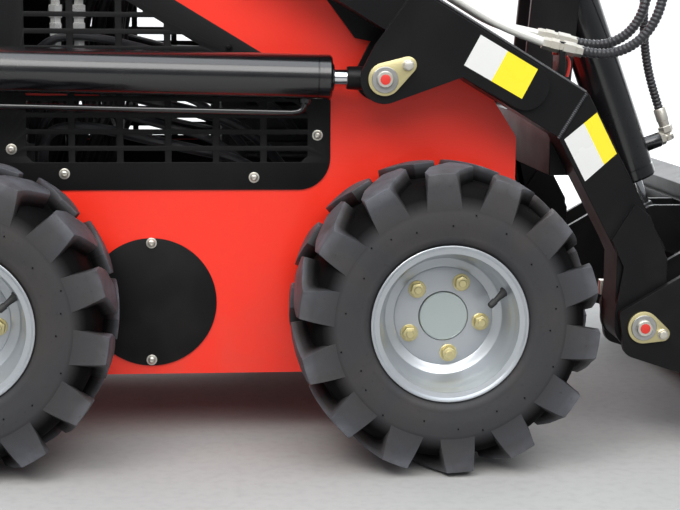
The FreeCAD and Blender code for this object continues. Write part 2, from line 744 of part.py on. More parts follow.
def make_grille():
    """Pad the black panel, cut its grid of slots and close them along the slope."""
    slope = "tan(arm_slope)"
    rise = "(grille_right_x - grille_left_x)"
    corners = [
        ("grille_left_x", "grille_low_z", "grille_corner"),
        ("grille_right_x", "grille_low_z", "grille_corner"),
        ("grille_right_x", "grille_shoulder_z"),
        ("grille_left_x", f"grille_shoulder_z + {rise} * {slope}"),
    ]
    body = new_body("grille")
    sketch = new_sketch(body, "XZ_Plane", "body_half_width")
    draw_outline(sketch, corners)
    add_pad(body, sketch, "grille_wall")
    round_corners(body, "XZ_Plane", corners)
    for column in range(SLOT_COLUMNS):
        left = f"slot_left_x + {column} * slot_pitch_x"
        limit = f"grille_shoulder_z + (grille_right_x - ({left}) - slot_length) * {slope} - slot_border"
        room = value(f"{limit} - slot_low_z + slot_pitch_z - slot_height")
        rows = int(room / value("slot_pitch_z"))
        sketch = new_sketch(body, "XZ_Plane", "body_half_width + grille_wall")
        draw_outline(sketch, [(left, "slot_low_z"), (f"{left} + slot_length", "slot_low_z"),
                              (f"{left} + slot_length", "slot_low_z + slot_height"),
                              (left, "slot_low_z + slot_height")])
        slot = add_pocket(body, sketch, "grille_wall")
        stack = body.newObject("PartDesign::LinearPattern", "Slots")
        stack.Originals = [slot]
        stack.Direction = (origin_of(body, "Z_Axis"), [""])
        stack.setExpression("Length", tie(f"{rows - 1} * slot_pitch_z"))
        stack.Occurrences = rows
        body.Tip = stack
        doc.recompute()
    return body


def make_cover():
    """Make the round access cover on the side plate."""
    return rod("access_cover", ("cover_x", "cover_z"), "y", "cover_radius",
               "-body_half_width - grille_wall", "-body_half_width")


def make_axles():
    """Make the two fixed axle tubes of one side with their flanges."""
    tubes = []
    for number, axle in enumerate(("axle_x", "-axle_x")):
        body = new_body(f"Axle{number}")
        sketch = new_sketch(body, "XZ_Plane", "body_half_width - axle_depth")
        draw_circle(sketch, axle, "axle_z", "axle_tube_radius")
        add_pad(body, sketch, "hub_back - running_gap - body_half_width + axle_depth")
        flange = new_sketch(body, "XZ_Plane", "body_half_width")
        draw_circle(flange, axle, "axle_z", "axle_tube_radius + axle_flange")
        add_pad(body, flange, "axle_flange_wall")
        tubes.append(body)
    return tubes


# Boom: arms, cross tube with the tilt bracket, pins


def arm_top(across):
    """Give the height of the upper arm's top edge at a place along X."""
    return f"(pivot_z + arm_drop / 2 - (({across}) - pivot_x) * tan(arm_slope))"


def arm_side(across, share):
    """Give a height on the upper arm's side, from its top edge (0) to its bottom edge (1)."""
    return f"({arm_top(across)} - {share} * arm_drop)"


def make_arm():
    """Pad one arm with its elbow, then the doubler plates and the lift bracket."""
    half = "(arm_depth / 2)"
    back, lean = f"{half} * cos(arm_slope)", f"{half} * sin(arm_slope)"
    drop = "tan(leg_slope)"
    corners = [
        (f"pivot_x - {back} + {lean}", f"pivot_z + {lean} + {back}", f"{half} - 1"),
        ("elbow_x", "elbow_z"),
        ("tool_pin_x + leg_end_radius", f"elbow_z - (tool_pin_x + leg_end_radius - elbow_x) * {drop}"),
        ("tool_pin_x + leg_end_radius", "tool_pin_z - leg_end_radius", "leg_end_radius - 1"),
        ("tool_pin_x - leg_end_radius", "tool_pin_z - leg_end_radius", "leg_end_radius - 1"),
        ("tool_pin_x - leg_end_radius",
         f"elbow_inner_z - (tool_pin_x - leg_end_radius - elbow_inner_x) * {drop}"),
        ("elbow_inner_x", "elbow_inner_z"),
        (f"pivot_x - {back} - {lean}", f"pivot_z + {lean} - {back}", f"{half} - 1"),
    ]
    body = new_body("boom_arm")
    sketch = new_sketch(body, "XZ_Plane", "arm_inner")
    draw_outline(sketch, corners)
    add_pad(body, sketch, "arm_width")
    round_corners(body, "XZ_Plane", corners)
    boss = "lift_boss_radius"
    bracket = [
        (f"lift_pin_x - 2.03 * {boss}", f"lift_pin_z - 1.79 * {boss}", boss),
        ("lift_pin_x + 118", arm_side("lift_pin_x + 118", 1)),
        ("lift_pin_x + 228", arm_side("lift_pin_x + 228", 0.95), "arm_depth / 2 - 6"),
        ("lift_pin_x + 265", arm_side("lift_pin_x + 265", 0.05), "arm_depth / 2 - 6"),
        ("lift_pin_x + 46", arm_side("lift_pin_x + 46", 0.05)),
        (f"lift_pin_x - 0.4 * {boss}", f"lift_pin_z + 1.43 * {boss}"),
    ]
    end = "(leg_end_radius + 2)"
    foot = [
        (f"tool_pin_x - {end}", f"tool_pin_z - {end}", f"{end} - 1"),
        (f"tool_pin_x + {end}", f"tool_pin_z - {end}", f"{end} - 1"),
        (f"tool_pin_x + {end}", "tool_pin_z + 104"),
        ("tool_pin_x + 10", "tool_pin_z + 171"),
        ("tool_pin_x - 14", "tool_pin_z + 190"),
        ("tool_pin_x - 49", "tool_pin_z + 134"),
        ("tool_pin_x - 29", "tool_pin_z + 91"),
        (f"tool_pin_x - {end}", "tool_pin_z + 20"),
    ]
    gusset = [
        ("lift_pin_x - 100", arm_side("lift_pin_x - 100", 0.9)),
        ("lift_pin_x - 37", "lift_pin_z + 61"),
        ("lift_pin_x", "lift_pin_z + 53"),
        ("lift_pin_x + 40", arm_side("lift_pin_x + 40", 0.9)),
    ]
    for outline, offset in (
        (bracket, "arm_outer"), (bracket, "arm_inner - doubler"), (gusset, "arm_inner - doubler"),
        (foot, "arm_outer"), (foot, "arm_inner - doubler"),
    ):
        cheek = new_sketch(body, "XZ_Plane", offset)
        draw_outline(cheek, outline)
        add_pad(body, cheek, "doubler")
    round_corners(body, "XZ_Plane", bracket)
    round_corners(body, "XZ_Plane", foot)
    eye = new_sketch(body, "XZ_Plane", "arm_outer + doubler")
    draw_circle(eye, "tool_pin_x", "tool_pin_z", "tool_pin_radius + 0.05")
    draw_circle(eye, "pivot_x", "pivot_z", "pivot_pin_radius")
    add_pocket(body, eye, "arm_width + 2 * doubler")
    return body


def make_beam():
    """Join the arms by a square tube that carries the two tilt bracket plates."""
    half = "(beam_size / 2)"
    beam = box("Beam", (f"beam_x - {half}", "-arm_inner", f"beam_z - {half}"),
               (f"beam_x + {half}", "arm_inner", f"beam_z + {half}"))
    plates = []
    for side, start in (("Right", "bracket_gap / 2"), ("Left", "-bracket_gap / 2 - bracket_wall")):
        corners = [
            (f"beam_x - {half}", f"beam_z + {half}"),
            (f"beam_x + {half}", f"beam_z + {half}"),
            ("tilt_base_x + 42", "tilt_base_z"),
            ("tilt_base_x + 42", "tilt_base_z + 42", "41"),
            ("tilt_base_x - 42", "tilt_base_z + 42", "41"),
            ("tilt_base_x - 42", "tilt_base_z"),
        ]
        hole = [("tilt_base_x", "tilt_base_z", "tool_pin_radius")]
        plates.append(plate(f"TiltPlate{side}", "XZ_Plane", corners, start, "bracket_wall", holes=hole))
    return fuse("boom_crossbeam", beam, *plates)


def across_pin(name, across, up, radius, start, end):
    """Make a pin across the machine between two distances on the right side."""
    return rod(name, (across, up), "y", radius, f"-({end})", f"-({start})")


def make_boom_pins():
    """Make the pins that the boom carries, each as a solid of its own."""
    pivot = fuse(
        "PivotPin",
        across_pin("PivotShaft", "pivot_x", "pivot_z", "pivot_pin_radius",
                   "body_half_width - side_wall - pin_head", "arm_outer + doubler"),
        across_pin("PivotHead", "pivot_x", "pivot_z", "pivot_pin_radius + 8", "arm_outer", "arm_outer + doubler"),
    )
    outer = across_pin("LiftPinOuter", "lift_pin_x", "lift_pin_z", "pin_head_radius",
                       "arm_outer + doubler", "arm_outer + doubler + pin_head")
    return group("boom_pins_right", pivot, outer)


def make_base_pin():
    """Make the side plate's pin for the lift cylinder with the washer at its end."""
    end = "cylinder_offset + eye_width / 2"
    shaft = across_pin("BasePinShaft", "lift_base_x", "lift_base_z", "lift_pin_radius",
                       "body_half_width - side_wall", f"{end} + pin_head")
    head = across_pin("BasePinHead", "lift_base_x", "lift_base_z", "pin_head_radius",
                      f"{end} + lug_gap", f"{end} + pin_head")
    return fuse("lift_base_pin", shaft, head)


# Cylinders, each drawn along X from its base pin and then turned to its rod pin


def make_barrel(name, outer, rod_radius, length, eye, width, pin, fittings=()):
    """Turn a barrel with a bore for its rod and add the eye at its base and its fittings."""
    body = new_body(f"{name}Tube")
    sketch = new_sketch(body, "XZ_Plane")
    draw_outline(sketch, [
        (f"{eye} - 4", "0"), (f"{eye} - 4", outer), (length, outer),
        (length, f"{rod_radius} + 0.05"), ("bore_start", f"{rod_radius} + 0.05"), ("bore_start", "0"),
    ])
    add_turn(body, sketch)
    ring = rod(f"{name}Eye", ("0", "0"), "y", eye, f"-({width}) / 2", f"({width}) / 2")
    bore = rod(f"{name}Bore", ("0", "0"), "y", f"{pin} + 0.05", f"-({width})", width)
    return fuse(name, cut(f"{name}Bored", fuse(f"{name}Solid", body, ring), bore), *fittings)


def make_rod(name, radius, length, eye, width, tail):
    """Make a rod whose eye carries its own stretch of the pin."""
    shaft = rod(f"{name}Shaft", ("0", "0"), "x", radius, tail, length)
    ring = rod(f"{name}Eye", ("0", "0"), "y", eye, f"-({width}) / 2", f"({width}) / 2")
    ring.setExpression("Placement.Base.x", tie(length))
    return fuse(name, shaft, ring)


def lift_fittings():
    """Make the pipe that feeds the lift barrel's rod side from a block at its base."""
    front, rear, low = "lift_barrel_length - 44", "eye_radius + 60", "-feed_drop"
    pipe = run("FeedPipe", [(rear, "0", low), (f"{front} - 30", "0", low), (f"{front} - 8", "0", f"{low} + 5"),
                            (front, "0", "-lift_bore_radius + 4")], "feed_pipe_radius")
    boss = rod("FeedBoss", (front, "0"), "z", "feed_pipe_radius + 4", "-lift_bore_radius - 6", "-lift_bore_radius + 4")
    block = box("FeedBlock", (f"{rear} - 26", "-12", f"{low} - 9"), (f"{rear} + 2", "12", "-lift_bore_radius + 4"))
    return [pipe, boss, block]


def tilt_fittings():
    """Make the two ports of the tilt barrel with the elbows that take the hoses."""
    wall, top = "tilt_bore_radius - 4", "tilt_bore_radius + boss_reach"
    far = f"{top} + 2 * fitting_radius"
    return [
        rod("RodPort", ("tilt_port", "0"), "z", "boss_radius", wall, f"{top} - 4"),
        rod("RodElbowFoot", ("tilt_port", "0"), "z", "fitting_radius - 2", f"{top} - 6", f"{far} - fitting_radius"),
        rod("RodElbow", ("0", f"{far} - fitting_radius"), "x", "fitting_radius", "tilt_port - elbow_reach", "tilt_port + fitting_radius + 1"),
        rod("BasePort", ("base_port", "0"), "z", "boss_radius", wall, top),
        rod("BaseElbow", ("base_port", f"{top} - fitting_radius - 2"), "y", "fitting_radius", "-elbow_reach + 12", "0"),
    ]


def aim(piece, side, base_x, base_z, pin_x, pin_z):
    """Stand a cylinder on its base pin and turn it towards its rod pin."""
    piece.Placement = FreeCAD.Placement(VECTOR(), FreeCAD.Rotation(VECTOR(0, 1, 0), 30))
    piece.setExpression("Placement.Base.x", tie(f"origin_shift + {base_x}"))
    piece.setExpression("Placement.Base.y", tie(f"-({side})"))
    piece.setExpression("Placement.Base.z", tie(base_z))
    turn = f"atan2({base_z} - {pin_z}; {pin_x} - {base_x})"
    piece.setExpression("Placement.Rotation.Angle", tie(turn))
    return piece


def keep_cylinders():
    """Keep the lift cylinders at the sides and the tilt cylinder in the middle."""
    lift = ("lift_base_x", "lift_base_z", "lift_pin_x", "lift_pin_z")
    barrel = make_barrel("lift_barrel", "lift_bore_radius", "lift_rod_radius",
                         "lift_barrel_length", "eye_radius", "eye_width", "lift_pin_radius", lift_fittings())
    shaft = make_rod("lift_rod", "lift_rod_radius", "lift_length", "eye_radius", "eye_width", "rod_tail")
    for stem, piece in (("lift_barrel", barrel), ("lift_rod", shaft)):
        keep(f"{stem}_right", aim(piece, "cylinder_offset", *lift), shift=False)
        keep_mirrored(f"{stem}_left", piece)
    tilt = ("tilt_base_x", "tilt_base_z", "tilt_pin_x", "tilt_pin_z")
    barrel = make_barrel("tilt_barrel", "tilt_bore_radius", "tilt_rod_radius",
                         "tilt_barrel_length", "eye_radius + 6", "tilt_eye_width", "tool_pin_radius", tilt_fittings())
    shaft = make_rod("tilt_rod", "tilt_rod_radius", "tilt_length", "tilt_eye_radius", "tilt_eye_width", "tilt_rod_tail")
    for name, piece in (("tilt_barrel", barrel), ("tilt_rod", shaft)):
        keep(name, aim(piece, "0", *tilt), shift=False)


# Hydraulic lines on the right-hand arm


def make_pipes():
    """Lay two steel pipes on the arm, held by clamps, with hexagon fittings for the hoses."""
    slope = "tan(arm_slope)"
    middle = "(-arm_inner - arm_width / 2)"
    rise = "((pipe_gap + pipe_radius) / cos(arm_slope))"
    pieces = []
    for number, (side, lift, reach) in enumerate((("-", "0", "0"), ("+", "13", "-2"))):
        across = f"{middle} {side} pipe_pitch / 2"
        end_x, end_z = f"(elbow_x - 64 + {reach})", f"(elbow_z + 76 + {lift})"
        pieces.append(run(f"ArmPipe{number}", [
            ("pivot_x + 105", across, f"{arm_top('pivot_x + 105')} + 4"),
            ("pivot_x + 110", across, f"{arm_top('pivot_x + 110')} + {rise} + 16"),
            ("pivot_x + 165", across, f"{arm_top('pivot_x + 165')} + {rise}"),
            ("elbow_x - 141", across, f"{arm_top('elbow_x - 141')} + {rise}"),
            (end_x, across, end_z),
        ], "pipe_radius"))
        pieces.append(run(f"PipeFitting{number}", [
            (f"{end_x} - 4", across, f"{end_z} + 2"), (f"{end_x} + 54", across, f"{end_z} - 11"),
        ], "fitting_radius", 6))
    for number, place in enumerate(("pivot_x + 107", "pivot_x + 220", "pivot_x + 410", "pivot_x + 600")):
        half = "14"
        corners = [(f"{place} {sign} {half}", f"{arm_top(f'{place} {sign} {half}')} + {height}")
                   for sign, height in (("-", "0"), ("+", "0"), ("+", f"{rise} + pipe_radius + 2"),
                                        ("-", f"{rise} + pipe_radius + 2"))]
        pieces.append(plate(f"PipeClamp{number}", "XZ_Plane", corners, f"-{middle} - pipe_pitch / 2 - pipe_radius - 3",
                            "pipe_pitch + 2 * pipe_radius + 6"))
    stand = [("elbow_x - 44", arm_top("elbow_x - 44")), ("elbow_x - 34", arm_top("elbow_x - 34")),
             ("elbow_x - 34", "elbow_z + 78"), ("elbow_x - 44", "elbow_z + 80")]
    pieces.append(plate("PipeStand", "XZ_Plane", stand, f"-{middle} - pipe_pitch / 2 - pipe_radius",
                        "pipe_pitch + 2 * pipe_radius"))
    return fuse("arm_pipes", *pieces)


# Routes of the two hoses from the pipes' fittings to the ports of the tilt barrel
HOSE_ROUTES = {
    "tilt_hose_rod_end": [
        (576, -342.5, 620.4), (599.4, -342.5, 615.2), (629.4, -342.5, 616.8), (659.1, -342.5, 628.8),
        (684, -341.5, 652), (701, -339, 686), (709, -331, 729), (713, -309, 769), (719, -271, 798),
        (728, -222, 814), (738, -170, 814), (746, -124, 798), (752, -86, 767), (757, -58, 728), (763, -37, 685),
        (770, -20, 641), (780, -7, 596), (794.2, 0, 550.2), (808.6, 0, 511.8),
    ],
    "tilt_hose_base_end": [
        (574, -312.5, 633.4), (597.4, -312.5, 628.1), (627.4, -312.5, 630.2), (655.5, -312.3, 643.4),
        (676.5, -310.5, 668.5), (688.5, -306, 702), (694, -294, 740), (699, -269, 774), (706, -232, 798),
        (711, -188, 807), (710, -147, 801), (701, -110, 783), (687.9, -76, 766.5), (687.9, -37, 766.5),
    ],
}


def keep_hoses():
    """Keep the hoses of the tilt cylinder, each a tube along its route."""
    for name, route in HOSE_ROUTES.items():
        keep(name, run(f"{name}_tube", route, "hose_radius"))


# Tool: quick-attach frame and bucket


def make_carrier():
    """Make the quick-attach plate with its hinge ears and the tilt ears."""
    board = box("CarrierBoard", ("carrier_x", "-carrier_half_width", "carrier_low_z"),
                ("carrier_x + carrier_wall", "carrier_half_width", "carrier_top_z"))
    radius = "ear_radius"
    hinge = [
        (f"tool_pin_x - 0.7 * {radius}", f"tool_pin_z - 1.1 * {radius}", f"{radius} / 2"),
        ("carrier_x", "carrier_low_z + 10"),
        ("carrier_x", "carrier_top_z"),
        (f"tool_pin_x - 0.95 * {radius}", f"tool_pin_z + 0.57 * {radius}", f"{radius} / 5"),
    ]
    hole = [("tool_pin_x", "tool_pin_z", "tool_pin_radius")]
    tilt = [
        ("tilt_pin_x - 30", "tilt_pin_z - 30", "29"), ("carrier_x", "tilt_pin_z - 70"),
        ("carrier_x", "carrier_top_z"), ("tilt_pin_x - 30", "tilt_pin_z + 30", "29"),
    ]
    gap = "eye_clearance"
    outboard = f"arm_outer + doubler + {gap}"
    inboard = f"arm_inner - doubler - {gap} - ear_wall"
    pieces = [board]
    for name, outline, holes, offset, wall in (
        ("EarOutRight", hinge, hole, outboard, "ear_wall"),
        ("EarInRight", hinge, hole, inboard, "ear_wall"),
        ("EarOutLeft", hinge, hole, f"-({outboard}) - ear_wall", "ear_wall"),
        ("EarInLeft", hinge, hole, f"-({inboard}) - ear_wall", "ear_wall"),
        ("TiltEarRight", tilt, (), "bracket_gap / 2", "bracket_wall"),
        ("TiltEarLeft", tilt, (), "-bracket_gap / 2 - bracket_wall", "bracket_wall"),
    ):
        pieces.append(plate(name, "XZ_Plane", outline, offset, wall, holes=holes))
    return fuse("tool_carrier", *pieces)


def make_tool_pins():
    """Make the hinge pin of one side with its head."""
    inboard = "arm_inner - doubler - eye_clearance - ear_wall"
    outboard = "arm_outer + doubler + eye_clearance + ear_wall"
    shaft = across_pin("ToolShaft", "tool_pin_x", "tool_pin_z", "tool_pin_radius", inboard, outboard)
    head = across_pin("ToolHead", "tool_pin_x", "tool_pin_z", "pin_head_radius", outboard,
                      f"{outboard} + pin_head")
    return fuse("tool_pins_right", shaft, head)


def make_bucket():
    """Bend the bucket's shell, close it with side plates and add the cutting edge."""
    back = "(carrier_x + carrier_wall + running_gap)"
    wall = "bucket_wall"
    shell = [
        (f"{back} + 60", "bucket_top_z + 14"),
        (back, "bucket_top_z"),
        (back, "bucket_heel_z"),
        ("bucket_floor_x", "bucket_floor_z"),
        ("edge_x - edge_length", "bucket_floor_z"),
        ("edge_x - edge_length", f"bucket_floor_z + {wall}"),
        ("bucket_floor_x + 4", f"bucket_floor_z + {wall}"),
        (f"{back} + {wall}", f"bucket_heel_z + 5"),
        (f"{back} + {wall}", f"bucket_top_z - 6"),
        (f"{back} + 62", f"bucket_top_z + 14 - {wall}"),
    ]
    side = [
        (back, "bucket_heel_z"), ("bucket_floor_x", "bucket_floor_z"),
        ("edge_x - 40", "bucket_floor_z"), ("edge_x - 52", "bucket_floor_z + 60"),
        (f"{back} + 60", "bucket_top_z + 14"), (back, "bucket_top_z"),
    ]
    inner = "(bucket_half_width - bucket_side)"
    pieces = [plate("BucketShell", "XZ_Plane", shell, "0", f"2 * {inner}", both_ways=True)]
    for name, offset in (("SideRight", inner), ("SideLeft", "-bucket_half_width")):
        pieces.append(plate(f"Bucket{name}", "XZ_Plane", side, offset, "bucket_side"))
    edge = [
        ("edge_x - edge_length", "bucket_floor_z"), ("edge_x", "bucket_floor_z"),
        ("edge_x - 24", "bucket_floor_z + edge_wall"),
        ("edge_x - edge_length", "bucket_floor_z + edge_wall"),
    ]
    pieces.append(plate("BucketEdge", "XZ_Plane", edge, "0", f"2 * {inner}", both_ways=True))
    return fuse("bucket", *pieces)


# Hood, platform, console and what shows inside


LOUVRES = 6


def make_hood():
    """Bend the hood: a sloping top with turned-down sides and a hinge tube."""
    reach = "(body_half_width - side_wall - hood_gap)"
    top = [
        ("hood_rear_x", "hood_rear_z"),
        ("brow_x - 20", "brow_z + 22"),
        ("brow_x - 20 - hood_wall / 2", "brow_z + 22 - hood_wall"),
        ("hood_rear_x", "hood_rear_z - hood_wall"),
    ]
    skirt = [
        ("hood_rear_x", "hood_rear_z - hood_wall"),
        ("brow_x - 20 - hood_wall / 2", "brow_z + 22 - hood_wall"),
        ("brow_x - 30", "brow_z + 4"),
        ("hood_rear_x", "hood_rear_z - 30"),
    ]
    pieces = [plate("HoodTop", "XZ_Plane", top, "0", f"2 * {reach}", both_ways=True)]
    for name, offset in (("Right", f"{reach} - hood_wall"), ("Left", f"-{reach}")):
        pieces.append(plate(f"HoodSkirt{name}", "XZ_Plane", skirt, offset, "hood_wall"))
    pieces.append(rod("HoodTube", ("hood_rear_x", "hood_rear_z - hood_tube_radius"), "y",
                      "hood_tube_radius", "-hood_tube_half", "hood_tube_half"))
    louvres = []
    for number in range(LOUVRES):
        for side, start in (("Right", "-louvre_length - louvre_width"), ("Left", "louvre_width")):
            place = f"(hood_rear_x + 2 * louvre_pitch + {number} * louvre_pitch)"
            louvres.append(box(f"Louvre{side}{number}", (place, start, "brow_z"),
                               (f"{place} + louvre_width", f"{start} + louvre_length", "hood_rear_z")))
    return cut("hood", fuse("HoodShell", *pieces), group("Louvres", *louvres))


def make_platform():
    """Make the operator's platform: a tray with turned-up edges, tabs and a hinge tube."""
    rear = "(platform_hinge_x - platform_length)"
    front = "(platform_hinge_x - platform_tube_radius - 4)"
    half = "platform_half_width"
    tray = box("Tray", (rear, f"-{half}", "platform_z"), (front, half, "platform_z + platform_rim"))
    hollow = box("TrayHollow", (f"{rear} + platform_wall", f"-{half} + platform_wall", "platform_z + platform_wall"),
                 (f"{front} + 1", f"{half} - platform_wall", "platform_z + platform_rim + 1"))
    tab = box("TrayTab", (front, "-platform_tube_half", "platform_z"),
              ("platform_hinge_x", "platform_tube_half", "platform_z + platform_wall"))
    tube = rod("PlatformTube", ("platform_hinge_x", "platform_z + platform_tube_radius"), "y",
               "platform_tube_radius", "-platform_tube_half", "platform_tube_half")
    return fuse("platform", cut("TrayShell", tray, hollow), tab, tube)


def hinge_lugs(stem, half, low, high):
    """Make a pair of lugs that hold a hinge tube between them."""
    lugs = []
    for name, start, end in (
        ("Right", f"-{half} - lug_gap - hinge_lug", f"-{half} - lug_gap"),
        ("Left", f"{half} + lug_gap", f"{half} + lug_gap + hinge_lug"),
    ):
        lugs.append(box(f"{stem}{name}", (low[0], start, low[1]), (high[0], end, high[1])))
    return lugs


def make_platform_mount():
    """Make the fixed hinge lugs of the platform on the rear wall."""
    lugs = hinge_lugs("PlatformLug", "platform_tube_half",
                      ("platform_hinge_x - platform_tube_radius", "platform_z - 4"),
                      ("rear_x", "platform_z + 2 * platform_tube_radius + 1"))
    return group("platform_mounts", *lugs)


def make_tow_eye():
    """Make the bored plate that sticks out under the platform."""
    reach = "tow_half_width"
    corners = [
        ("rear_x", f"-{reach}"), ("rear_x", reach), (f"tow_x - {reach} / 2", reach, "tow_half_width / 2"),
        (f"tow_x - {reach} / 2", f"-{reach}", "tow_half_width / 2"),
    ]
    return plate("tow_eye", "XY_Plane", corners, "tow_z", "tow_wall", holes=[("tow_x", "0", "tow_bore")])


LEVER_X = "pivot_x - 10"
LEVER_FOOT = "pivot_z + 40"
LEVER_SIDES = ("-60", "0", "60")


def make_console():
    """Make the operator's console between the towers."""
    half = "console_half_width"
    corners = [
        ("rear_x", "hood_rear_z - 120"), ("hood_rear_x - 30", "hood_rear_z - 120"),
        ("hood_rear_x - 30", "hood_rear_z + 20"), ("pivot_x + 30", "pivot_z + 96", "20"),
        ("rear_x", "pivot_z + 60", "20"),
    ]
    shell = plate("ConsoleShell", "XZ_Plane", corners, "0", f"2 * {half}", both_ways=True)
    lugs = hinge_lugs("HoodLug", "hood_tube_half", ("hood_rear_x - 30", "hood_rear_z - 2 * hood_tube_radius"),
                      ("hood_rear_x + hood_tube_radius / 2", "hood_rear_z - hood_tube_radius + 2"))
    sockets = [rod(f"LeverSocket{number}", (LEVER_X, side), "z", "lever_radius + running_gap", LEVER_FOOT, "pivot_z + 200")
               for number, side in enumerate(LEVER_SIDES)]
    return cut("console", fuse("ConsoleWithLugs", shell, *lugs), group("LeverSockets", *sockets))


def make_levers():
    """Make the two drive levers and the boom lever on the console."""
    levers = []
    for number, side in enumerate(LEVER_SIDES):
        stem = rod(f"LeverStem{number}", (LEVER_X, side), "z", "lever_radius", f"{LEVER_FOOT} + running_gap",
                   "pivot_z + 140")
        knob = rod(f"LeverKnob{number}", (LEVER_X, side), "z", "lever_knob_radius", "pivot_z + 136", "pivot_z + 172")
        levers.append(fuse(f"Lever{number}", stem, knob))
    return group("control_levers", *levers)


def make_handlebar():
    """Make the grab bar behind the console."""
    half, level = "(console_half_width - 30)", "pivot_z + 20"
    return run("handlebar", [("rear_x", f"-{half}", level), ("rear_x - 80", f"-{half}", level),
                             ("rear_x - 80", half, level), ("rear_x", half, level)], "bar_radius")


def keep_inside():
    """Keep the plain masses that show through the slots and under the open hood."""
    floor, side = "belly_z + frame_wall", "body_half_width - side_wall"
    keep("engine", box("engine", ("engine_rear_x", "-engine_half_width", "engine_low_z"),
                       ("engine_rear_x + engine_length", "engine_half_width", "engine_top_z")))
    keep("muffler", rod("muffler", ("muffler_x", "engine_top_z + muffler_radius"), "y", "muffler_radius",
                        "-engine_half_width + 30", "muffler_length - engine_half_width + 30"))
    for name, start, end in (("hydraulic_tank", "-tank_half_width", "-tank_gap_between / 2"),
                             ("fuel_tank", "tank_gap_between / 2", "tank_half_width")):
        keep(name, box(name, ("rear_x + frame_wall", start, floor), ("tank_front_x", end, "tank_top_z")))
    top, rear = "(shelf_z + shelf_wall)", "(tank_front_x + valve_gap)"
    face = f"(-({side}) + valve_gap)"
    block = box("ValveBlock", (rear, face, top), (f"{rear} + valve_length", f"{face} + valve_width", f"{top} + valve_height"))
    ports = [rod(f"Port{number}", (f"{rear} + {share} * valve_length", f"{face} + 20"), "z", "port_radius",
                 f"{top} + valve_height - 20", f"{top} + valve_height + port_length")
             for number, share in enumerate((0.42, 0.76))]
    keep("hydraulic_valve", fuse("hydraulic_valve", block, *ports))


def main():
    """Build every sub-part, check it and write its file."""
    keep_wheels()
    keep_pair("side_plate", make_side_plate())
    keep("chassis_frame", make_frame())
    keep_pair("grille", make_grille())
    keep_pair("access_cover", make_cover())
    keep_both("axle_housings", *make_axles())
    keep_pair("boom_arm", make_arm())
    keep("boom_crossbeam", make_beam())
    keep_both("boom_pins", make_boom_pins())
    keep("tilt_base_pin", rod("tilt_base_pin", ("tilt_base_x", "tilt_base_z"), "y", "tool_pin_radius",
                              "-bracket_gap / 2 - bracket_wall - pin_head", "bracket_gap / 2 + bracket_wall + pin_head"))
    keep_both("lift_base_pins", make_base_pin())
    keep_cylinders()
    keep("arm_pipes", make_pipes())
    keep_hoses()
    keep("tool_carrier", make_carrier())
    keep_both("tool_pins", make_tool_pins())
    keep("bucket", make_bucket())
    keep("hood", make_hood())
    keep("platform", make_platform())
    keep("platform_mounts", make_platform_mount())
    keep("tow_eye", make_tow_eye())
    keep("console", make_console())
    keep("control_levers", make_levers())
    keep("handlebar", make_handlebar())
    keep("thigh_pad", box("thigh_pad", ("rear_x - pad_wall", "-pad_half_width", "pad_low_z"),
                          ("rear_x", "pad_half_width", "pad_low_z + pad_height")))
    keep_inside()
    doc.recompute()
    check_and_write()


def check_and_write():
    """Stop at a failed object or a bad shape, else write each sub-part's file."""
    failed = [item.Name for item in doc.Objects if "Invalid" in item.State or "Error" in item.State]
    if failed:
        raise RuntimeError(f"failed objects: {failed}")
    os.makedirs("parts", exist_ok=True)
    for name, piece in NODES.items():
        shape = piece.Shape
        if shape.isNull() or not shape.isValid() or not shape.Solids:
            raise RuntimeError(f"{name} has no valid solid")
        shape.exportStep(f"parts/{name}.step")
        print(name, len(shape.Solids), "solids", round(shape.Volume / 1000), "cm3")
    for name in HOSE_ROUTES:
        length, bends = RUNS[f"{name}_tube"]
        share = NODES[name].Shape.Volume / (math.pi * value("hose_radius") ** 2 * length)
        print(name, "length", round(length, 1), "volume share", round(share, 4), "radii", [round(bend) for bend in bends])
        if abs(share - 1) > 0.01:
            raise RuntimeError(f"{name} is not a full tube")


main()
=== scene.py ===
"""Blender scene of a compact stand-on skid steer loader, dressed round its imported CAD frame."""
from __future__ import annotations

import json
import logging
import math
from collections.abc import Callable, Iterable, Sequence
from dataclasses import dataclass, field
from enum import Enum

import bmesh
import bpy
from mathutils import Matrix, Vector

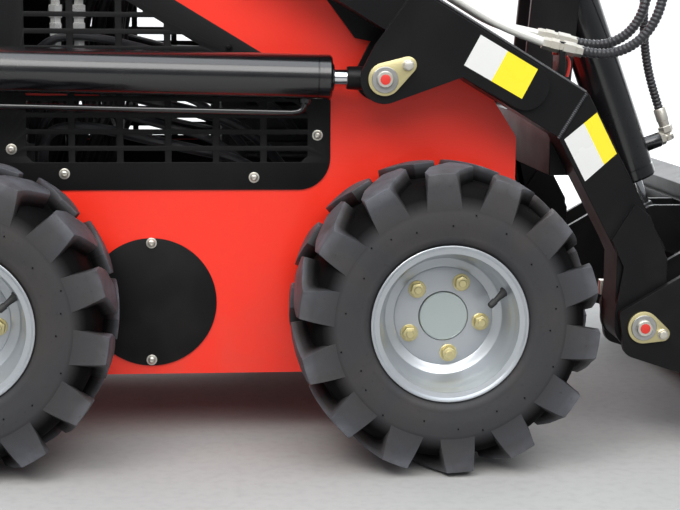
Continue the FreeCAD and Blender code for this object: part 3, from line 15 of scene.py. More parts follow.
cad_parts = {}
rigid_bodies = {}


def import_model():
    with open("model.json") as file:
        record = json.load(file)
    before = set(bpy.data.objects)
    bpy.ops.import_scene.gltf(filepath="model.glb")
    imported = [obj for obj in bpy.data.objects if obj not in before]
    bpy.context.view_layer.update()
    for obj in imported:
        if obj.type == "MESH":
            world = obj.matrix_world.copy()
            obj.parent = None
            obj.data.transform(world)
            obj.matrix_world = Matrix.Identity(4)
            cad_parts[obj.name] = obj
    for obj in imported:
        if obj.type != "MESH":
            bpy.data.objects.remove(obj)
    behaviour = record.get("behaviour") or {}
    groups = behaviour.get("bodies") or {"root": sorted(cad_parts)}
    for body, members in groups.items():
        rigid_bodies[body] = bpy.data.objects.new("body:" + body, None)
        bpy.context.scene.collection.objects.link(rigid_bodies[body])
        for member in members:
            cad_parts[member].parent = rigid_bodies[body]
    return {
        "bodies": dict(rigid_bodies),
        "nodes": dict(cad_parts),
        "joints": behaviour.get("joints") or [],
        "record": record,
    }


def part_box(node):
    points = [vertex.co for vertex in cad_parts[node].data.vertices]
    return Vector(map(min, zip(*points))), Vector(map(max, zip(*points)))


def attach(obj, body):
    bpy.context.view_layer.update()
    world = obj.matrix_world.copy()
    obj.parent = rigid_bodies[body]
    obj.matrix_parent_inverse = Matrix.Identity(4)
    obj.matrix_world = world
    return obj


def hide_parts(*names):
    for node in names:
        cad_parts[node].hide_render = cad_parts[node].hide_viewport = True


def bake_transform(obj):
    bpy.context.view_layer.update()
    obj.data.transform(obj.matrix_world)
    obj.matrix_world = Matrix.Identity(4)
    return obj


LOG = logging.getLogger("loader")
MM = 0.001
Outline = Sequence[tuple[float, float]]
Colour = tuple[float, float, float]


class Side(Enum):
    """The two sides of the machine, as the sign of Y."""

    RIGHT = -1
    LEFT = 1

    @property
    def word(self) -> str:
        """Return the side's name in lower case."""
        return self.name.lower()


# Shading


class Graph:
    """A material's node tree with short calls to add and link nodes."""

    def __init__(self, name: str) -> None:
        """Start a material with its principled shader.

        Args:
            name: The material's name.
        """
        self.material = bpy.data.materials.new(name)
        self.material.use_nodes = True
        self.tree = self.material.node_tree
        self.shader = self.tree.nodes["Principled BSDF"]
        self.place = self.add("ShaderNodeTexCoord").outputs["Object"]

    def add(self, kind: str, **values: object) -> bpy.types.Node:
        """Add a node and set its properties or input defaults.

        Args:
            kind: The node's type.
            values: Properties, or inputs by name with _ for spaces.

        Returns:
            The new node.
        """
        node = self.tree.nodes.new(kind)
        for key, value in values.items():
            label = key.replace("_", " ")
            if label in node.inputs:
                node.inputs[label].default_value = value
            else:
                setattr(node, key, value)
        return node

    def link(self, source: bpy.types.NodeSocket, target: bpy.types.NodeSocket) -> None:
        """Join two sockets."""
        self.tree.links.new(source, target)

    def noise(self, scale: float, detail: float = 4.0, stretch: tuple[float, float, float] | None = None,
              distortion: float = 0.0) -> bpy.types.NodeSocket:
        """Make noise on the piece's own place.

        Args:
            scale: Waves to a metre.
            detail: Octaves.
            stretch: Scale of each axis, for streaks.
            distortion: How much the noise is bent.

        Returns:
            The noise value's socket.
        """
        node = self.add("ShaderNodeTexNoise", Scale=scale, Detail=detail, Distortion=distortion)
        place = self.place
        if stretch is not None:
            mapping = self.add("ShaderNodeMapping", Scale=stretch)
            self.link(place, mapping.inputs["Vector"])
            place = mapping.outputs["Vector"]
        self.link(place, node.inputs["Vector"])
        return node.outputs["Fac"]

    def height(self) -> bpy.types.NodeSocket:
        """Return the height above the ground in metres."""
        split = self.add("ShaderNodeSeparateXYZ")
        self.link(self.place, split.inputs["Vector"])
        return split.outputs["Z"]

    def span(self, source: bpy.types.NodeSocket, low: float, high: float, start: float = 0.0,
             end: float = 1.0) -> bpy.types.NodeSocket:
        """Map a value from one range to another, clamped.

        Args:
            source: The value.
            low: Value that gives start.
            high: Value that gives end.
            start: Result at low.
            end: Result at high.

        Returns:
            The mapped value.
        """
        node = self.add("ShaderNodeMapRange", From_Min=low, From_Max=high, To_Min=start, To_Max=end)
        self.link(source, node.inputs["Value"])
        return node.outputs["Result"]

    def times(self, one: bpy.types.NodeSocket, other: bpy.types.NodeSocket | float) -> bpy.types.NodeSocket:
        """Multiply two values."""
        node = self.add("ShaderNodeMath", operation="MULTIPLY")
        self.link(one, node.inputs[0])
        if isinstance(other, float):
            node.inputs[1].default_value = other
        else:
            self.link(other, node.inputs[1])
        return node.outputs["Value"]

    def blend(self, amount: bpy.types.NodeSocket, under: Colour | bpy.types.NodeSocket,
              over: Colour) -> bpy.types.NodeSocket:
        """Lay one colour over another.

        Args:
            amount: How much of the upper colour shows.
            under: The lower colour.
            over: The upper colour.

        Returns:
            The blended colour.
        """
        node = self.add("ShaderNodeMix", data_type="RGBA")
        self.link(amount, node.inputs[0])
        if isinstance(under, tuple):
            node.inputs[6].default_value = (*under, 1.0)
        else:
            self.link(under, node.inputs[6])
        node.inputs[7].default_value = (*over, 1.0)
        return node.outputs[2]

    def bump(self, height: bpy.types.NodeSocket, strength: float, depth: float) -> None:
        """Raise the surface by a value.

        Args:
            height: The value.
            strength: How strong the effect is.
            depth: Height of a full step, in metres.
        """
        node = self.add("ShaderNodeBump", Strength=strength, Distance=depth)
        previous = self.shader.inputs["Normal"].links
        if previous:
            self.link(previous[0].from_socket, node.inputs["Normal"])
        self.link(height, node.inputs["Height"])
        self.link(node.outputs["Normal"], self.shader.inputs["Normal"])

    def drive(self, name: str, source: bpy.types.NodeSocket) -> None:
        """Feed one input of the shader."""
        self.link(source, self.shader.inputs[name])

    def fix(self, **values: object) -> None:
        """Set the shader's own inputs."""
        for key, value in values.items():
            socket = self.shader.inputs[key.replace("_", " ")]
            socket.default_value = (*value, 1.0) if isinstance(value, tuple) else value


@dataclass(frozen=True)
class Finish:
    """A surface finish: its name, the record's slot and its main numbers."""

    name: str
    slot: str
    colour: Colour
    roughness: float = 0.4
    metallic: float = 0.0
    coat: float = 0.0
    grain: float = 0.0
    grain_scale: float = 900.0
    mottle: float = 0.0
    mottle_colour: Colour = (0.2, 0.2, 0.2)
    dust: float = 0.0
    dust_height: float = 0.35
    dust_colour: Colour = (0.26, 0.22, 0.17)
    sheen: float = 0.0
    specular: float = 0.5
    brushed: tuple[float, float, float] | None = None

    def material(self) -> bpy.types.Material:
        """Return the finish's material, built once.

        Returns:
            The material.
        """
        known = bpy.data.materials.get(self.name)
        if known is not None:
            return known
        graph = Graph(self.name)
        graph.fix(Metallic=self.metallic, Coat_Weight=self.coat, Coat_Roughness=0.12, Sheen_Weight=self.sheen,
                  Specular_IOR_Level=self.specular)
        broad = graph.noise(7.0, 5.0)
        colour: Colour | bpy.types.NodeSocket = graph.blend(
            graph.span(broad, 0.3, 0.7, 0.0, 0.10), self.colour, tuple(0.82 * part for part in self.colour))
        if self.mottle:
            spots = graph.noise(26.0, 6.0, distortion=0.6)
            colour = graph.blend(graph.span(spots, 0.48, 0.72, 0.0, self.mottle), colour, self.mottle_colour)
        if self.dust:
            low = graph.span(graph.height(), 0.02, self.dust_height, 1.0, 0.12)
            cloud = graph.span(graph.noise(14.0, 7.0, distortion=0.4), 0.42, 0.75, 0.0, self.dust)
            colour = graph.blend(graph.times(low, cloud), colour, self.dust_colour)
        graph.drive("Base Color", colour)
        smear = graph.noise(11.0, 6.0)
        graph.drive("Roughness", graph.span(smear, 0.3, 0.7, self.roughness - 0.05, self.roughness + 0.07))
        if self.brushed is not None:
            graph.bump(graph.noise(500.0, 2.0, self.brushed), 0.16, 0.0004)
        if self.grain:
            graph.bump(graph.noise(self.grain_scale, 3.0), self.grain, 0.0006)
        return graph.material


RED = Finish("red_enamel", "body_red", (0.88, 0.030, 0.012), 0.34, coat=0.22, grain=0.10, grain_scale=220.0,
             specular=0.35, dust=0.14, dust_height=0.30)
BLACK = Finish("black_enamel", "black_paint", (0.0050, 0.0050, 0.0056), 0.36, grain=0.16, grain_scale=420.0,
               specular=0.17, dust=0.05, dust_height=0.45)
GLOSS = Finish("black_gloss_enamel", "black_paint", (0.0040, 0.0042, 0.0050), 0.22, coat=0.7, grain=0.03,
               grain_scale=420.0, specular=0.5)
PANEL = Finish("black_panel_paint", "black_paint", (0.0055, 0.0055, 0.0062), 0.50, grain=0.22, grain_scale=700.0,
               specular=0.16, dust=0.04, dust_height=0.5)
# Painted shade: near black on faces that look into the engine bay, which are really red paint like the body
BAY_SHADE = Finish("bay_liner", "body_red", (0.010, 0.009, 0.009), 0.75, grain=0.3, specular=0.2)
WELD = Finish("scuffed_weld", "black_paint", (0.020, 0.020, 0.022), 0.40, coat=0.2, grain=0.6, grain_scale=500.0,
              mottle=0.7, mottle_colour=(0.07, 0.07, 0.075))
# Pale lilac: a painted reflection of the sky on the edge of a black plate
SKY_GLINT = Finish("silver_strip", "black_paint", (0.42, 0.40, 0.50), 0.35, metallic=0.3)
RIM = Finish("rim_silver_paint", "rim_silver", (0.43, 0.455, 0.48), 0.34, metallic=0.62, coat=0.25, grain=0.12,
             grain_scale=1500.0, dust=0.10, dust_height=0.4)
CAP = Finish("hub_cap_steel", "bare_steel", (0.47, 0.53, 0.52), 0.30, metallic=0.75, grain=0.10, grain_scale=1200.0)
STEEL = Finish("machined_steel", "bare_steel", (0.42, 0.42, 0.41), 0.36, metallic=0.9, grain=0.16,
               grain_scale=900.0, mottle=0.2, mottle_colour=(0.16, 0.13, 0.10))
NICKEL = Finish("bright_nickel", "bare_steel", (0.86, 0.86, 0.84), 0.26, metallic=0.45, grain=0.05)
CHROME = Finish("hard_chrome", "chromed_rod", (0.72, 0.73, 0.74), 0.12, metallic=1.0)
ZINC = Finish("yellow_zinc", "yellow_zinc", (0.52, 0.43, 0.24), 0.34, metallic=0.85, grain=0.12,
             mottle=0.6, mottle_colour=(0.58, 0.52, 0.44))
PALE_ZINC = Finish("pale_zinc", "yellow_zinc", (0.60, 0.58, 0.52), 0.36, metallic=0.8, grain=0.12,
                   mottle=0.3, mottle_colour=(0.50, 0.42, 0.30))
PIPE = Finish("pipe_enamel", "pale_pipe", (0.60, 0.595, 0.56), 0.32, metallic=0.15, coat=0.3, grain=0.05)
HOSE = Finish("hose_cover", "hose_rubber", (0.012, 0.012, 0.015), 0.38, grain=0.3, grain_scale=800.0,
              sheen=0.15)
RUBBER = Finish("moulded_rubber", "black_plastic", (0.020, 0.020, 0.021), 0.62, grain=0.5, grain_scale=600.0)
PLASTIC = Finish("black_moulding", "black_plastic", (0.022, 0.022, 0.024), 0.5, grain=0.4, grain_scale=1100.0)
ENGINE = Finish("engine_casting", "engine_dark", (0.030, 0.030, 0.032), 0.6, metallic=0.35, grain=0.8,
                grain_scale=300.0, mottle=0.4, mottle_colour=(0.07, 0.065, 0.06))
HOT = Finish("exhaust_steel", "engine_dark", (0.085, 0.075, 0.07), 0.55, metallic=0.6, grain=0.4,
             mottle=0.6, mottle_colour=(0.16, 0.08, 0.045))
WHITE_FILM = Finish("white_film", "black_paint", (0.66, 0.66, 0.64), 0.28, coat=0.3)
YELLOW_FILM = Finish("yellow_film", "black_paint", (0.86, 0.68, 0.02), 0.28, coat=0.3)
RED_MARK = Finish("red_marking_paint", "yellow_zinc", (0.60, 0.03, 0.02), 0.4)
WORN = Finish("worn_edge_steel", "black_paint", (0.20, 0.195, 0.19), 0.36, metallic=0.85, grain=0.3,
              mottle=0.75, mottle_colour=(0.05, 0.045, 0.045), dust=0.3)
VINYL = Finish("grained_vinyl", "black_plastic", (0.018, 0.018, 0.020), 0.48, coat=0.1, grain=0.7, grain_scale=420.0,
               specular=0.35, sheen=0.1)
GRIP_TAPE = Finish("grit_tape", "black_paint", (0.016, 0.016, 0.016), 0.85, grain=1.0, grain_scale=1400.0)


@dataclass(frozen=True)
class TyreFinish(Finish):
    """Tyre rubber: bluish grey lug tops, worn and with painted highlight on their edges; painted shade in the pockets
    and down the lug sides; dark flanks with brown smudges.
    """

    def material(self) -> bpy.types.Material:
        """Return the tyre's material, built once.

        Returns:
            The material.
        """
        known = bpy.data.materials.get(self.name)
        if known is not None:
            return known
        graph = Graph(self.name)
        scuff = graph.add("ShaderNodeAttribute", attribute_name="scuff").outputs["Fac"]
        cloud = graph.span(graph.noise(30.0, 7.0, distortion=0.5), 0.32, 0.68, 0.35, 1.0)
        # Above 0.5 the layer lightens the lug tops and their rounded edges to bluish grey: tread wear, with painted
        # highlight along the edges
        wear_and_glint = graph.span(scuff, 0.5, 1.0)
        colour = graph.blend(graph.times(wear_and_glint, cloud), self.colour, (0.105, 0.109, 0.124))
        flank = graph.span(graph.noise(9.0, 6.0, distortion=0.8), 0.46, 0.72, 0.0, 0.55)
        colour = graph.blend(flank, colour, (0.050, 0.041, 0.034))
        fleck = graph.span(graph.noise(140.0, 3.0), 0.64, 0.72, 0.0, 0.35)
        colour = graph.blend(fleck, colour, (0.015, 0.014, 0.014))
        # Below 0.5 the layer darkens the pockets between the lugs and the lug sides near their feet almost to black:
        # painted shade
        colour = graph.blend(graph.span(scuff, 0.05, 0.5, 0.9, 0.0), colour, (0.0015, 0.0015, 0.0015))
        graph.drive("Base Color", colour)
        graph.drive("Roughness", graph.span(graph.noise(20.0, 5.0), 0.3, 0.7, 0.50, 0.66))
        # Specular follows the same layer, low in the painted-shade pockets and higher on the lug tops
        graph.drive("Specular IOR Level", graph.span(scuff, 0.05, 0.55, 0.02, 0.30))
        graph.bump(graph.noise(70.0, 6.0), 0.28, 0.0015)
        graph.bump(graph.noise(900.0, 3.0), 0.35, 0.0004)
        return graph.material


TYRE = TyreFinish("tyre_compound", "tyre_rubber", (0.033, 0.033, 0.036))


# Routes of the two hoses on the boom, in metres
HOSE_ROUTES: dict[str, list[tuple[float, float, float]]] = {
    "tilt_hose_rod_end": [
        (0.3020, -0.3425, 0.6204), (0.3254, -0.3425, 0.6152), (0.3554, -0.3425, 0.6168), (0.3851, -0.3425, 0.6288),
        (0.4100, -0.3415, 0.6520), (0.4270, -0.3390, 0.6860), (0.4350, -0.3310, 0.7290), (0.4390, -0.3090, 0.7690),
        (0.4450, -0.2710, 0.7980), (0.4540, -0.2220, 0.8140), (0.4640, -0.1700, 0.8140), (0.4720, -0.1240, 0.7980),
        (0.4780, -0.0860, 0.7670), (0.4830, -0.0580, 0.7280), (0.4890, -0.0370, 0.6850), (0.4960, -0.0200, 0.6410),
        (0.5060, -0.0070, 0.5960), (0.5202, 0.0000, 0.5502), (0.5346, 0.0000, 0.5118),
    ],
    "tilt_hose_base_end": [
        (0.3000, -0.3125, 0.6334), (0.3234, -0.3125, 0.6281), (0.3534, -0.3125, 0.6302), (0.3815, -0.3123, 0.6434),
        (0.4025, -0.3105, 0.6685), (0.4145, -0.3060, 0.7020), (0.4200, -0.2940, 0.7400), (0.4250, -0.2690, 0.7740),
        (0.4320, -0.2320, 0.7980), (0.4370, -0.1880, 0.8070), (0.4360, -0.1470, 0.8010), (0.4270, -0.1100, 0.7830),
        (0.4139, -0.0760, 0.7665), (0.4139, -0.0370, 0.7665),
    ],
}


# Shop: shared modelling calls


@dataclass
class Shop:
    """Carries the frame and turns bmeshes into pieces that ride on a body."""

    frame: dict
    middle: float = 0.0
    made: list[str] = field(default_factory=list)

    def __post_init__(self) -> None:
        """Find the middle of the wheelbase from the wheel joints."""
        axles = [joint["pos_m"][0] for joint in self.frame["joints"] if joint["name"].startswith("wheel_")]
        self.middle = sum(axles) / len(axles)

    def at(self, x: float, y: float, z: float) -> Vector:
        """Turn millimetres from the middle of the wheelbase into the row frame."""
        return Vector((self.middle + x * MM, y * MM, z * MM))

    def piece(self, mesh: bmesh.types.BMesh, name: str, body: str, *finishes: Finish,
              replaces: Sequence[str] = (), sharp: float = 32.0) -> bpy.types.Object:
        """Make an object of a bmesh and hang it on its body.

        Args:
            mesh: The shape, which is freed.
            name: The piece's name.
            body: The body that carries it, or nothing for a piece left on no body.
            finishes: Finishes by material index.
            replaces: CAD nodes that it stands for.
            sharp: Smallest angle of a sharp edge, in degrees.

        Returns:
            The new object.
        """
        data = bpy.data.meshes.new(name)
        for face in mesh.faces:
            face.smooth = True
        mesh.to_mesh(data)
        mesh.free()
        data.set_sharp_from_angle(angle=math.radians(sharp))
        for finish in finishes:
            data.materials.append(finish.material())
        thing = bpy.data.objects.new(name, data)
        bpy.context.scene.collection.objects.link(thing)
        if body:
            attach(thing, body)
        if replaces:
            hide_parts(*replaces)
        self.made.append(name)
        return thing

    def carried(self, node: str, finish: Finish, bevel: float = 1.2,
                inner_shade: Finish | None = None) -> bpy.types.Object:
        """Dress a copy of a CAD node with rounded edges.

        Args:
            node: The CAD node.
            finish: Its finish.
            bevel: Edge radius in millimetres.
            inner_shade: Near-black painted shade for the faces that look into the machine, which are red paint.

        Returns:
            The new object, which stands for the node.
        """
        mesh = bmesh.new()
        mesh.from_mesh(self.frame["nodes"][node].data)
        bmesh.ops.remove_doubles(mesh, verts=mesh.verts, dist=2e-5)
        bmesh.ops.dissolve_limit(mesh, angle_limit=math.radians(0.6), verts=mesh.verts, edges=mesh.edges)
        finishes = [finish]
        if inner_shade is not None:
            finishes.append(inner_shade)
            # Faces that look towards the middle of the engine bay take the second finish, near-black painted shade over
            # what is red paint
            heart = self.at(30, 0, 420)
            for face in mesh.faces:
                away = heart - face.calc_center_median()
                face.material_index = 1 if face.normal.dot(away.normalized()) > 0.12 else 0
        thing = self.piece(mesh, f"{node}_finished", self.body_of(node), *finishes, replaces=[node])
        rounding = thing.modifiers.new("rounding", "BEVEL")
        rounding.width = bevel * MM
        rounding.segments = 2
        rounding.limit_method = "ANGLE"
        rounding.angle_limit = math.radians(38)
        rounding.harden_normals = True
        return thing

    def placed(self, mesh: bmesh.types.BMesh, name: str, body: str, matrix: Matrix, finishes: Sequence[Finish],
               replaces: Sequence[str] = ()) -> bpy.types.Object:
        """Make a piece of a moved or mirrored copy of a bmesh, which stays.

        Args:
            mesh: The shape.
            name: The piece's name.
            body: The body that carries it.
            matrix: The copy's place.
            finishes: Finishes by material index.
            replaces: CAD nodes that it stands for.

        Returns:
            The new object.
        """
        copy = mesh.copy()
        moved(copy, list(copy.verts), matrix)
        return self.piece(copy, name, body, *finishes, replaces=replaces)

    def repaint(self, node: str, finish: Finish) -> None:
        """Give a CAD node that stays its finish."""
        data = self.frame["nodes"][node].data
        data.materials.clear()
        data.materials.append(finish.material())

    def body_of(self, node: str) -> str:
        """Return the body that holds a node."""
        bodies = self.frame["record"]["behaviour"]["bodies"]
        return next(body for body, nodes in bodies.items() if node in nodes)


def turned(mesh: bmesh.types.BMesh, profile: Outline, steps: int = 48, closed: bool = False,
           index: int = 0) -> list[bmesh.types.BMVert]:
    """Spin a profile of (along Y, radius) in millimetres round the Y axis.

    Args:
        mesh: The mesh that takes the shape.
        profile: The profile's points.
        steps: Faces round the axis.
        closed: Whether the last point joins the first.
        index: Material index.

    Returns:
        The new vertices.
    """
    before = set(mesh.verts)
    verts = [mesh.verts.new((0.0, along * MM, radius * MM)) for along, radius in profile]
    pairs = list(zip(verts, verts[1:])) + ([(verts[-1], verts[0])] if closed else [])
    edges = [mesh.edges.new(pair) for pair in pairs]
    bmesh.ops.spin(mesh, geom=verts + edges, cent=(0, 0, 0), axis=(0, 1, 0), dvec=(0, 0, 0),
                   angle=math.tau, steps=steps, use_merge=True, use_duplicate=False)
    new = [vert for vert in mesh.verts if vert not in before]
    bmesh.ops.remove_doubles(mesh, verts=new, dist=1e-6)
    new = [vert for vert in mesh.verts if vert not in before]
    faces = list({face for vert in new for face in vert.link_faces})
    bmesh.ops.recalc_face_normals(mesh, faces=faces)
    for face in faces:
        face.material_index = index
    return new


def moved(mesh: bmesh.types.BMesh, verts: Iterable[bmesh.types.BMVert], matrix: Matrix) -> None:
    """Move vertices by a matrix, and turn their faces back if it mirrors them."""
    verts = list(verts)
    bmesh.ops.transform(mesh, matrix=matrix, verts=verts)
    if matrix.determinant() < 0:
        bmesh.ops.reverse_faces(mesh, faces=list({face for vert in verts for face in vert.link_faces}))


def aimed(place: Vector, direction: Vector) -> Matrix:
    """Return a matrix that turns +Y to a direction and moves to a place."""
    return Matrix.Translation(place) @ direction.to_track_quat("Y", "Z").to_matrix().to_4x4()


def softened(mesh: bmesh.types.BMesh, verts: Iterable[bmesh.types.BMVert], width: float, segments: int = 2,
             angle: float = 30.0) -> None:
    """Bevel the sharp edges among vertices.

    Args:
        mesh: The mesh.
        verts: The vertices whose edges are looked at.
        width: Bevel width in millimetres.
        segments: Steps of the bevel.
        angle: Smallest angle of an edge that is bevelled, in degrees.
    """
    edges = {edge for vert in verts for edge in vert.link_edges}
    sharp = [edge for edge in edges if len(edge.link_faces) == 2
             and edge.calc_face_angle(0.0) > math.radians(angle)]
    bmesh.ops.bevel(mesh, geom=sharp, offset=width * MM, offset_type="OFFSET", segments=segments, profile=0.5,
                    affect="EDGES", material=-1, clamp_overlap=True)


def slab(mesh: bmesh.types.BMesh, outline: Outline, low: float, high: float, bevel: float = 0.0,
         index: int = 0) -> list[bmesh.types.BMVert]:
    """Extrude an outline of (X, Z) in millimetres from one Y to another.

    Args:
        mesh: The mesh that takes the shape.
        outline: The corners in order.
        low: Lower Y.
        high: Higher Y.
        bevel: Width of the bevelled edges.
        index: Material index.

    Returns:
        The new vertices.
    """
    before = set(mesh.verts)
    base = mesh.faces.new([mesh.verts.new((x * MM, low * MM, z * MM)) for x, z in outline])
    grown = bmesh.ops.extrude_face_region(mesh, geom=[base])["geom"]
    top = [item for item in grown if isinstance(item, bmesh.types.BMVert)]
    bmesh.ops.translate(mesh, vec=(0, (high - low) * MM, 0), verts=top)
    new = [vert for vert in mesh.verts if vert not in before]
    faces = list({face for vert in new for face in vert.link_faces})
    bmesh.ops.recalc_face_normals(mesh, faces=faces)
    if bevel:
        softened(mesh, new, bevel)
    new = [vert for vert in mesh.verts if vert not in before]
    for face in {face for vert in new for face in vert.link_faces}:
        face.material_index = index
    return new


def brick(mesh: bmesh.types.BMesh, low: Sequence[float], high: Sequence[float], bevel: float = 1.0,
          index: int = 0) -> list[bmesh.types.BMVert]:
    """Make a box between two corners in millimetres, with soft edges."""
    outline = [(low[0], low[2]), (high[0], low[2]), (high[0], high[2]), (low[0], high[2])]
    return slab(mesh, outline, low[1], high[1], bevel, index)


def sheet(mesh: bmesh.types.BMesh, outlines: Sequence[Outline], low: float, high: float, bevel: float = 1.0,
          index: int = 0) -> list[bmesh.types.BMVert]:
    """Cut a plate with holes out of sheet, with rounded edges.

    Args:
        mesh: The mesh that takes the shape.
        outlines: The edge of (X, Z) in millimetres, then the holes.
        low: One face's Y.
        high: The other face's Y.
        bevel: Radius of the edges.
        index: Material index.

    Returns:
        The new vertices.
    """
    curve = bpy.data.curves.new("sheet", "CURVE")
    curve.dimensions = "2D"
    curve.fill_mode = "BOTH"
    curve.extrude = abs(high - low) / 2 * MM - bevel * MM
    curve.bevel_depth = bevel * MM
    curve.bevel_resolution = 1
    curve.offset = -bevel * MM
    for outline in outlines:
        line = curve.splines.new("POLY")
        line.points.add(len(outline) - 1)
        for spot, (x, z) in zip(line.points, outline):
            spot.co = (x * MM, z * MM, 0.0, 1.0)
        line.use_cyclic_u = True
    holder = bpy.data.objects.new("sheet", curve)
    data = bpy.data.meshes.new_from_object(holder)
    before = set(mesh.verts)
    mesh.from_mesh(data)
    bpy.data.objects.remove(holder)
    bpy.data.curves.remove(curve)
    bpy.data.meshes.remove(data)
    new = [vert for vert in mesh.verts if vert not in before]
    stand = Matrix.Translation((0, (low + high) / 2 * MM, 0)) @ Matrix.Rotation(math.pi / 2, 4, "X")
    bmesh.ops.transform(mesh, matrix=stand, verts=new)
    bmesh.ops.remove_doubles(mesh, verts=new, dist=1e-6)
    new = [vert for vert in mesh.verts if vert not in before]
    faces = list({face for vert in new for face in vert.link_faces})
    bmesh.ops.recalc_face_normals(mesh, faces=faces)
    for face in faces:
        face.material_index = index
    return new


def rounded(corners: Sequence[tuple[float, float, float]], steps: int = 6) -> list[tuple[float, float]]:
    """Round the corners of an outline.

    Args:
        corners: Each corner's two places and its radius.
        steps: Points of each arc.

    Returns:
        The outline's points.
    """
    points: list[tuple[float, float]] = []
    count = len(corners)
    for number, (x, z, radius) in enumerate(corners):
        here = Vector((x, z))
        if radius <= 0:
            points.append((x, z))
            continue
        one = (Vector(corners[number - 1][:2]) - here).normalized()
        two = (Vector(corners[(number + 1) % count][:2]) - here).normalized()
        half = one.angle(two) / 2
        middle = here + (one + two).normalized() * (radius / math.sin(half))
        start, end = here + one * (radius / math.tan(half)), here + two * (radius / math.tan(half))
        first = math.atan2(*(start - middle).yx)
        sweep = (math.atan2(*(end - middle).yx) - first + math.pi) % math.tau - math.pi
        for step in range(steps + 1):
            turn = first + sweep * step / steps
            points.append((middle.x + radius * math.cos(turn), middle.y + radius * math.sin(turn)))
    return points


def disc(x: float, z: float, radius: float, steps: int = 40) -> list[tuple[float, float]]:
    """Return a circle's points round (x, z)."""
    return [(x + radius * math.cos(math.tau * step / steps), z + radius * math.sin(math.tau * step / steps))
            for step in range(steps)]


def bolt(mesh: bmesh.types.BMesh, place: Vector, direction: Vector, across: float, washer: float = 0.0,
         stud: float = 0.0, index: int = 0, turn: float = 0.0) -> None:
    """Set a hexagon head or nut with its washer on a face.

    Args:
        mesh: The mesh that takes the shape.
        place: The foot's centre in metres.
        direction: Way out of the face.
        across: Size across the flats in millimetres.
        washer: Washer radius, or 0.
        stud: Radius of the stud's end above the nut, or 0.
        index: Material index.
        turn: Turn of the hexagon in degrees.
    """
    before = set(mesh.verts)
    foot = 0.0
    if washer:
        turned(mesh, [(0, 0), (0, washer), (1.6, washer), (2.2, washer - 0.8), (2.2, 0)], 24, index=index)
        foot = 2.2
    head = across * 0.5
    corner = across / 2 / math.cos(math.pi / 6)
    hexagon = bmesh.ops.create_cone(mesh, cap_ends=True, cap_tris=False, segments=6, radius1=corner * MM,
                                    radius2=corner * MM, depth=head * MM)["verts"]
    stand = Matrix.Translation((0, (foot + head / 2) * MM, 0)) @ Matrix.Rotation(-math.pi / 2, 4, "X")
    bmesh.ops.transform(mesh, matrix=stand @ Matrix.Rotation(math.radians(turn), 4, "Z"), verts=hexagon)
    softened(mesh, hexagon, across * 0.05, 2)
    if stud:
        top = foot + head
        turned(mesh, [(top - 1, 0), (top - 1, stud), (top + 2.2, stud), (top + 3.2, stud - 1), (top + 3.2, 0)], 20,
               index=index)
    new = [vert for vert in mesh.verts if vert not in before]
    for face in {face for vert in new for face in vert.link_faces}:
        face.material_index = index
    moved(mesh, new, aimed(place, direction))


def button(mesh: bmesh.types.BMesh, place: Vector, direction: Vector, radius: float, index: int = 0) -> None:
    """Set a washer and a domed socket screw on a face."""
    profile = [(0, 0), (0, radius * 1.35), (1.6, radius * 1.35), (1.9, radius * 1.25), (1.9, radius),
               (3.4, radius * 0.92), (4.8, radius * 0.66), (5.3, radius * 0.42), (3.4, radius * 0.38), (3.4, 0)]
    moved(mesh, turned(mesh, profile, 24, index=index), aimed(place, direction))


def tube(mesh: bmesh.types.BMesh, points: Sequence[Vector], radius: float, sides: int = 14,
         smooth: bool = True, index: int = 0) -> None:
    """Lay a round tube along points.

    Args:
        mesh: The mesh that takes the shape.
        points: The line's control points in metres.
        radius: Tube radius in millimetres.
        sides: Faces round the tube, rounded to a multiple of four.
        smooth: Whether the line is rounded at its points.
        index: Material index.
    """
    curve = bpy.data.curves.new("line", "CURVE")
    curve.dimensions = "3D"
    curve.bevel_depth = radius * MM
    curve.bevel_resolution = max(1, sides // 4)
    curve.use_fill_caps = True
    line = curve.splines.new("NURBS" if smooth else "POLY")
    line.points.add(len(points) - 1)
    for spot, point in zip(line.points, points):
        spot.co = (*point, 1.0)
    if smooth:
        line.order_u = 3
        line.use_endpoint_u = True
        line.resolution_u = 8
    holder = bpy.data.objects.new("line", curve)
    data = bpy.data.meshes.new_from_object(holder)
    before = set(mesh.faces)
    mesh.from_mesh(data)
    for face in mesh.faces:
        if face not in before:
            face.material_index = index
    bpy.data.objects.remove(holder)
    bpy.data.curves.remove(curve)
    bpy.data.meshes.remove(data)


def bead(mesh: bmesh.types.BMesh, start: Vector, end: Vector, radius: float, index: int = 0) -> None:
    """Lay a rippled weld bead between two points.

    Args:
        mesh: The mesh that takes the shape.
        start: First end in metres.
        end: Second end in metres.
        radius: Bead radius in millimetres.
        index: Material index.
    """
    length = (end - start).length / MM
    count = max(4, int(length / (radius * 0.9)))
    profile = [(0.0, 0.0)]
    for step in range(count):
        along = length * step / count
        profile += [(along + 0.1, radius * 0.72), (along + length / count * 0.55, radius)]
    profile += [(length, radius * 0.6), (length, 0.0)]
    moved(mesh, turned(mesh, profile, 10, index=index), aimed(start, end - start))


# Wheels


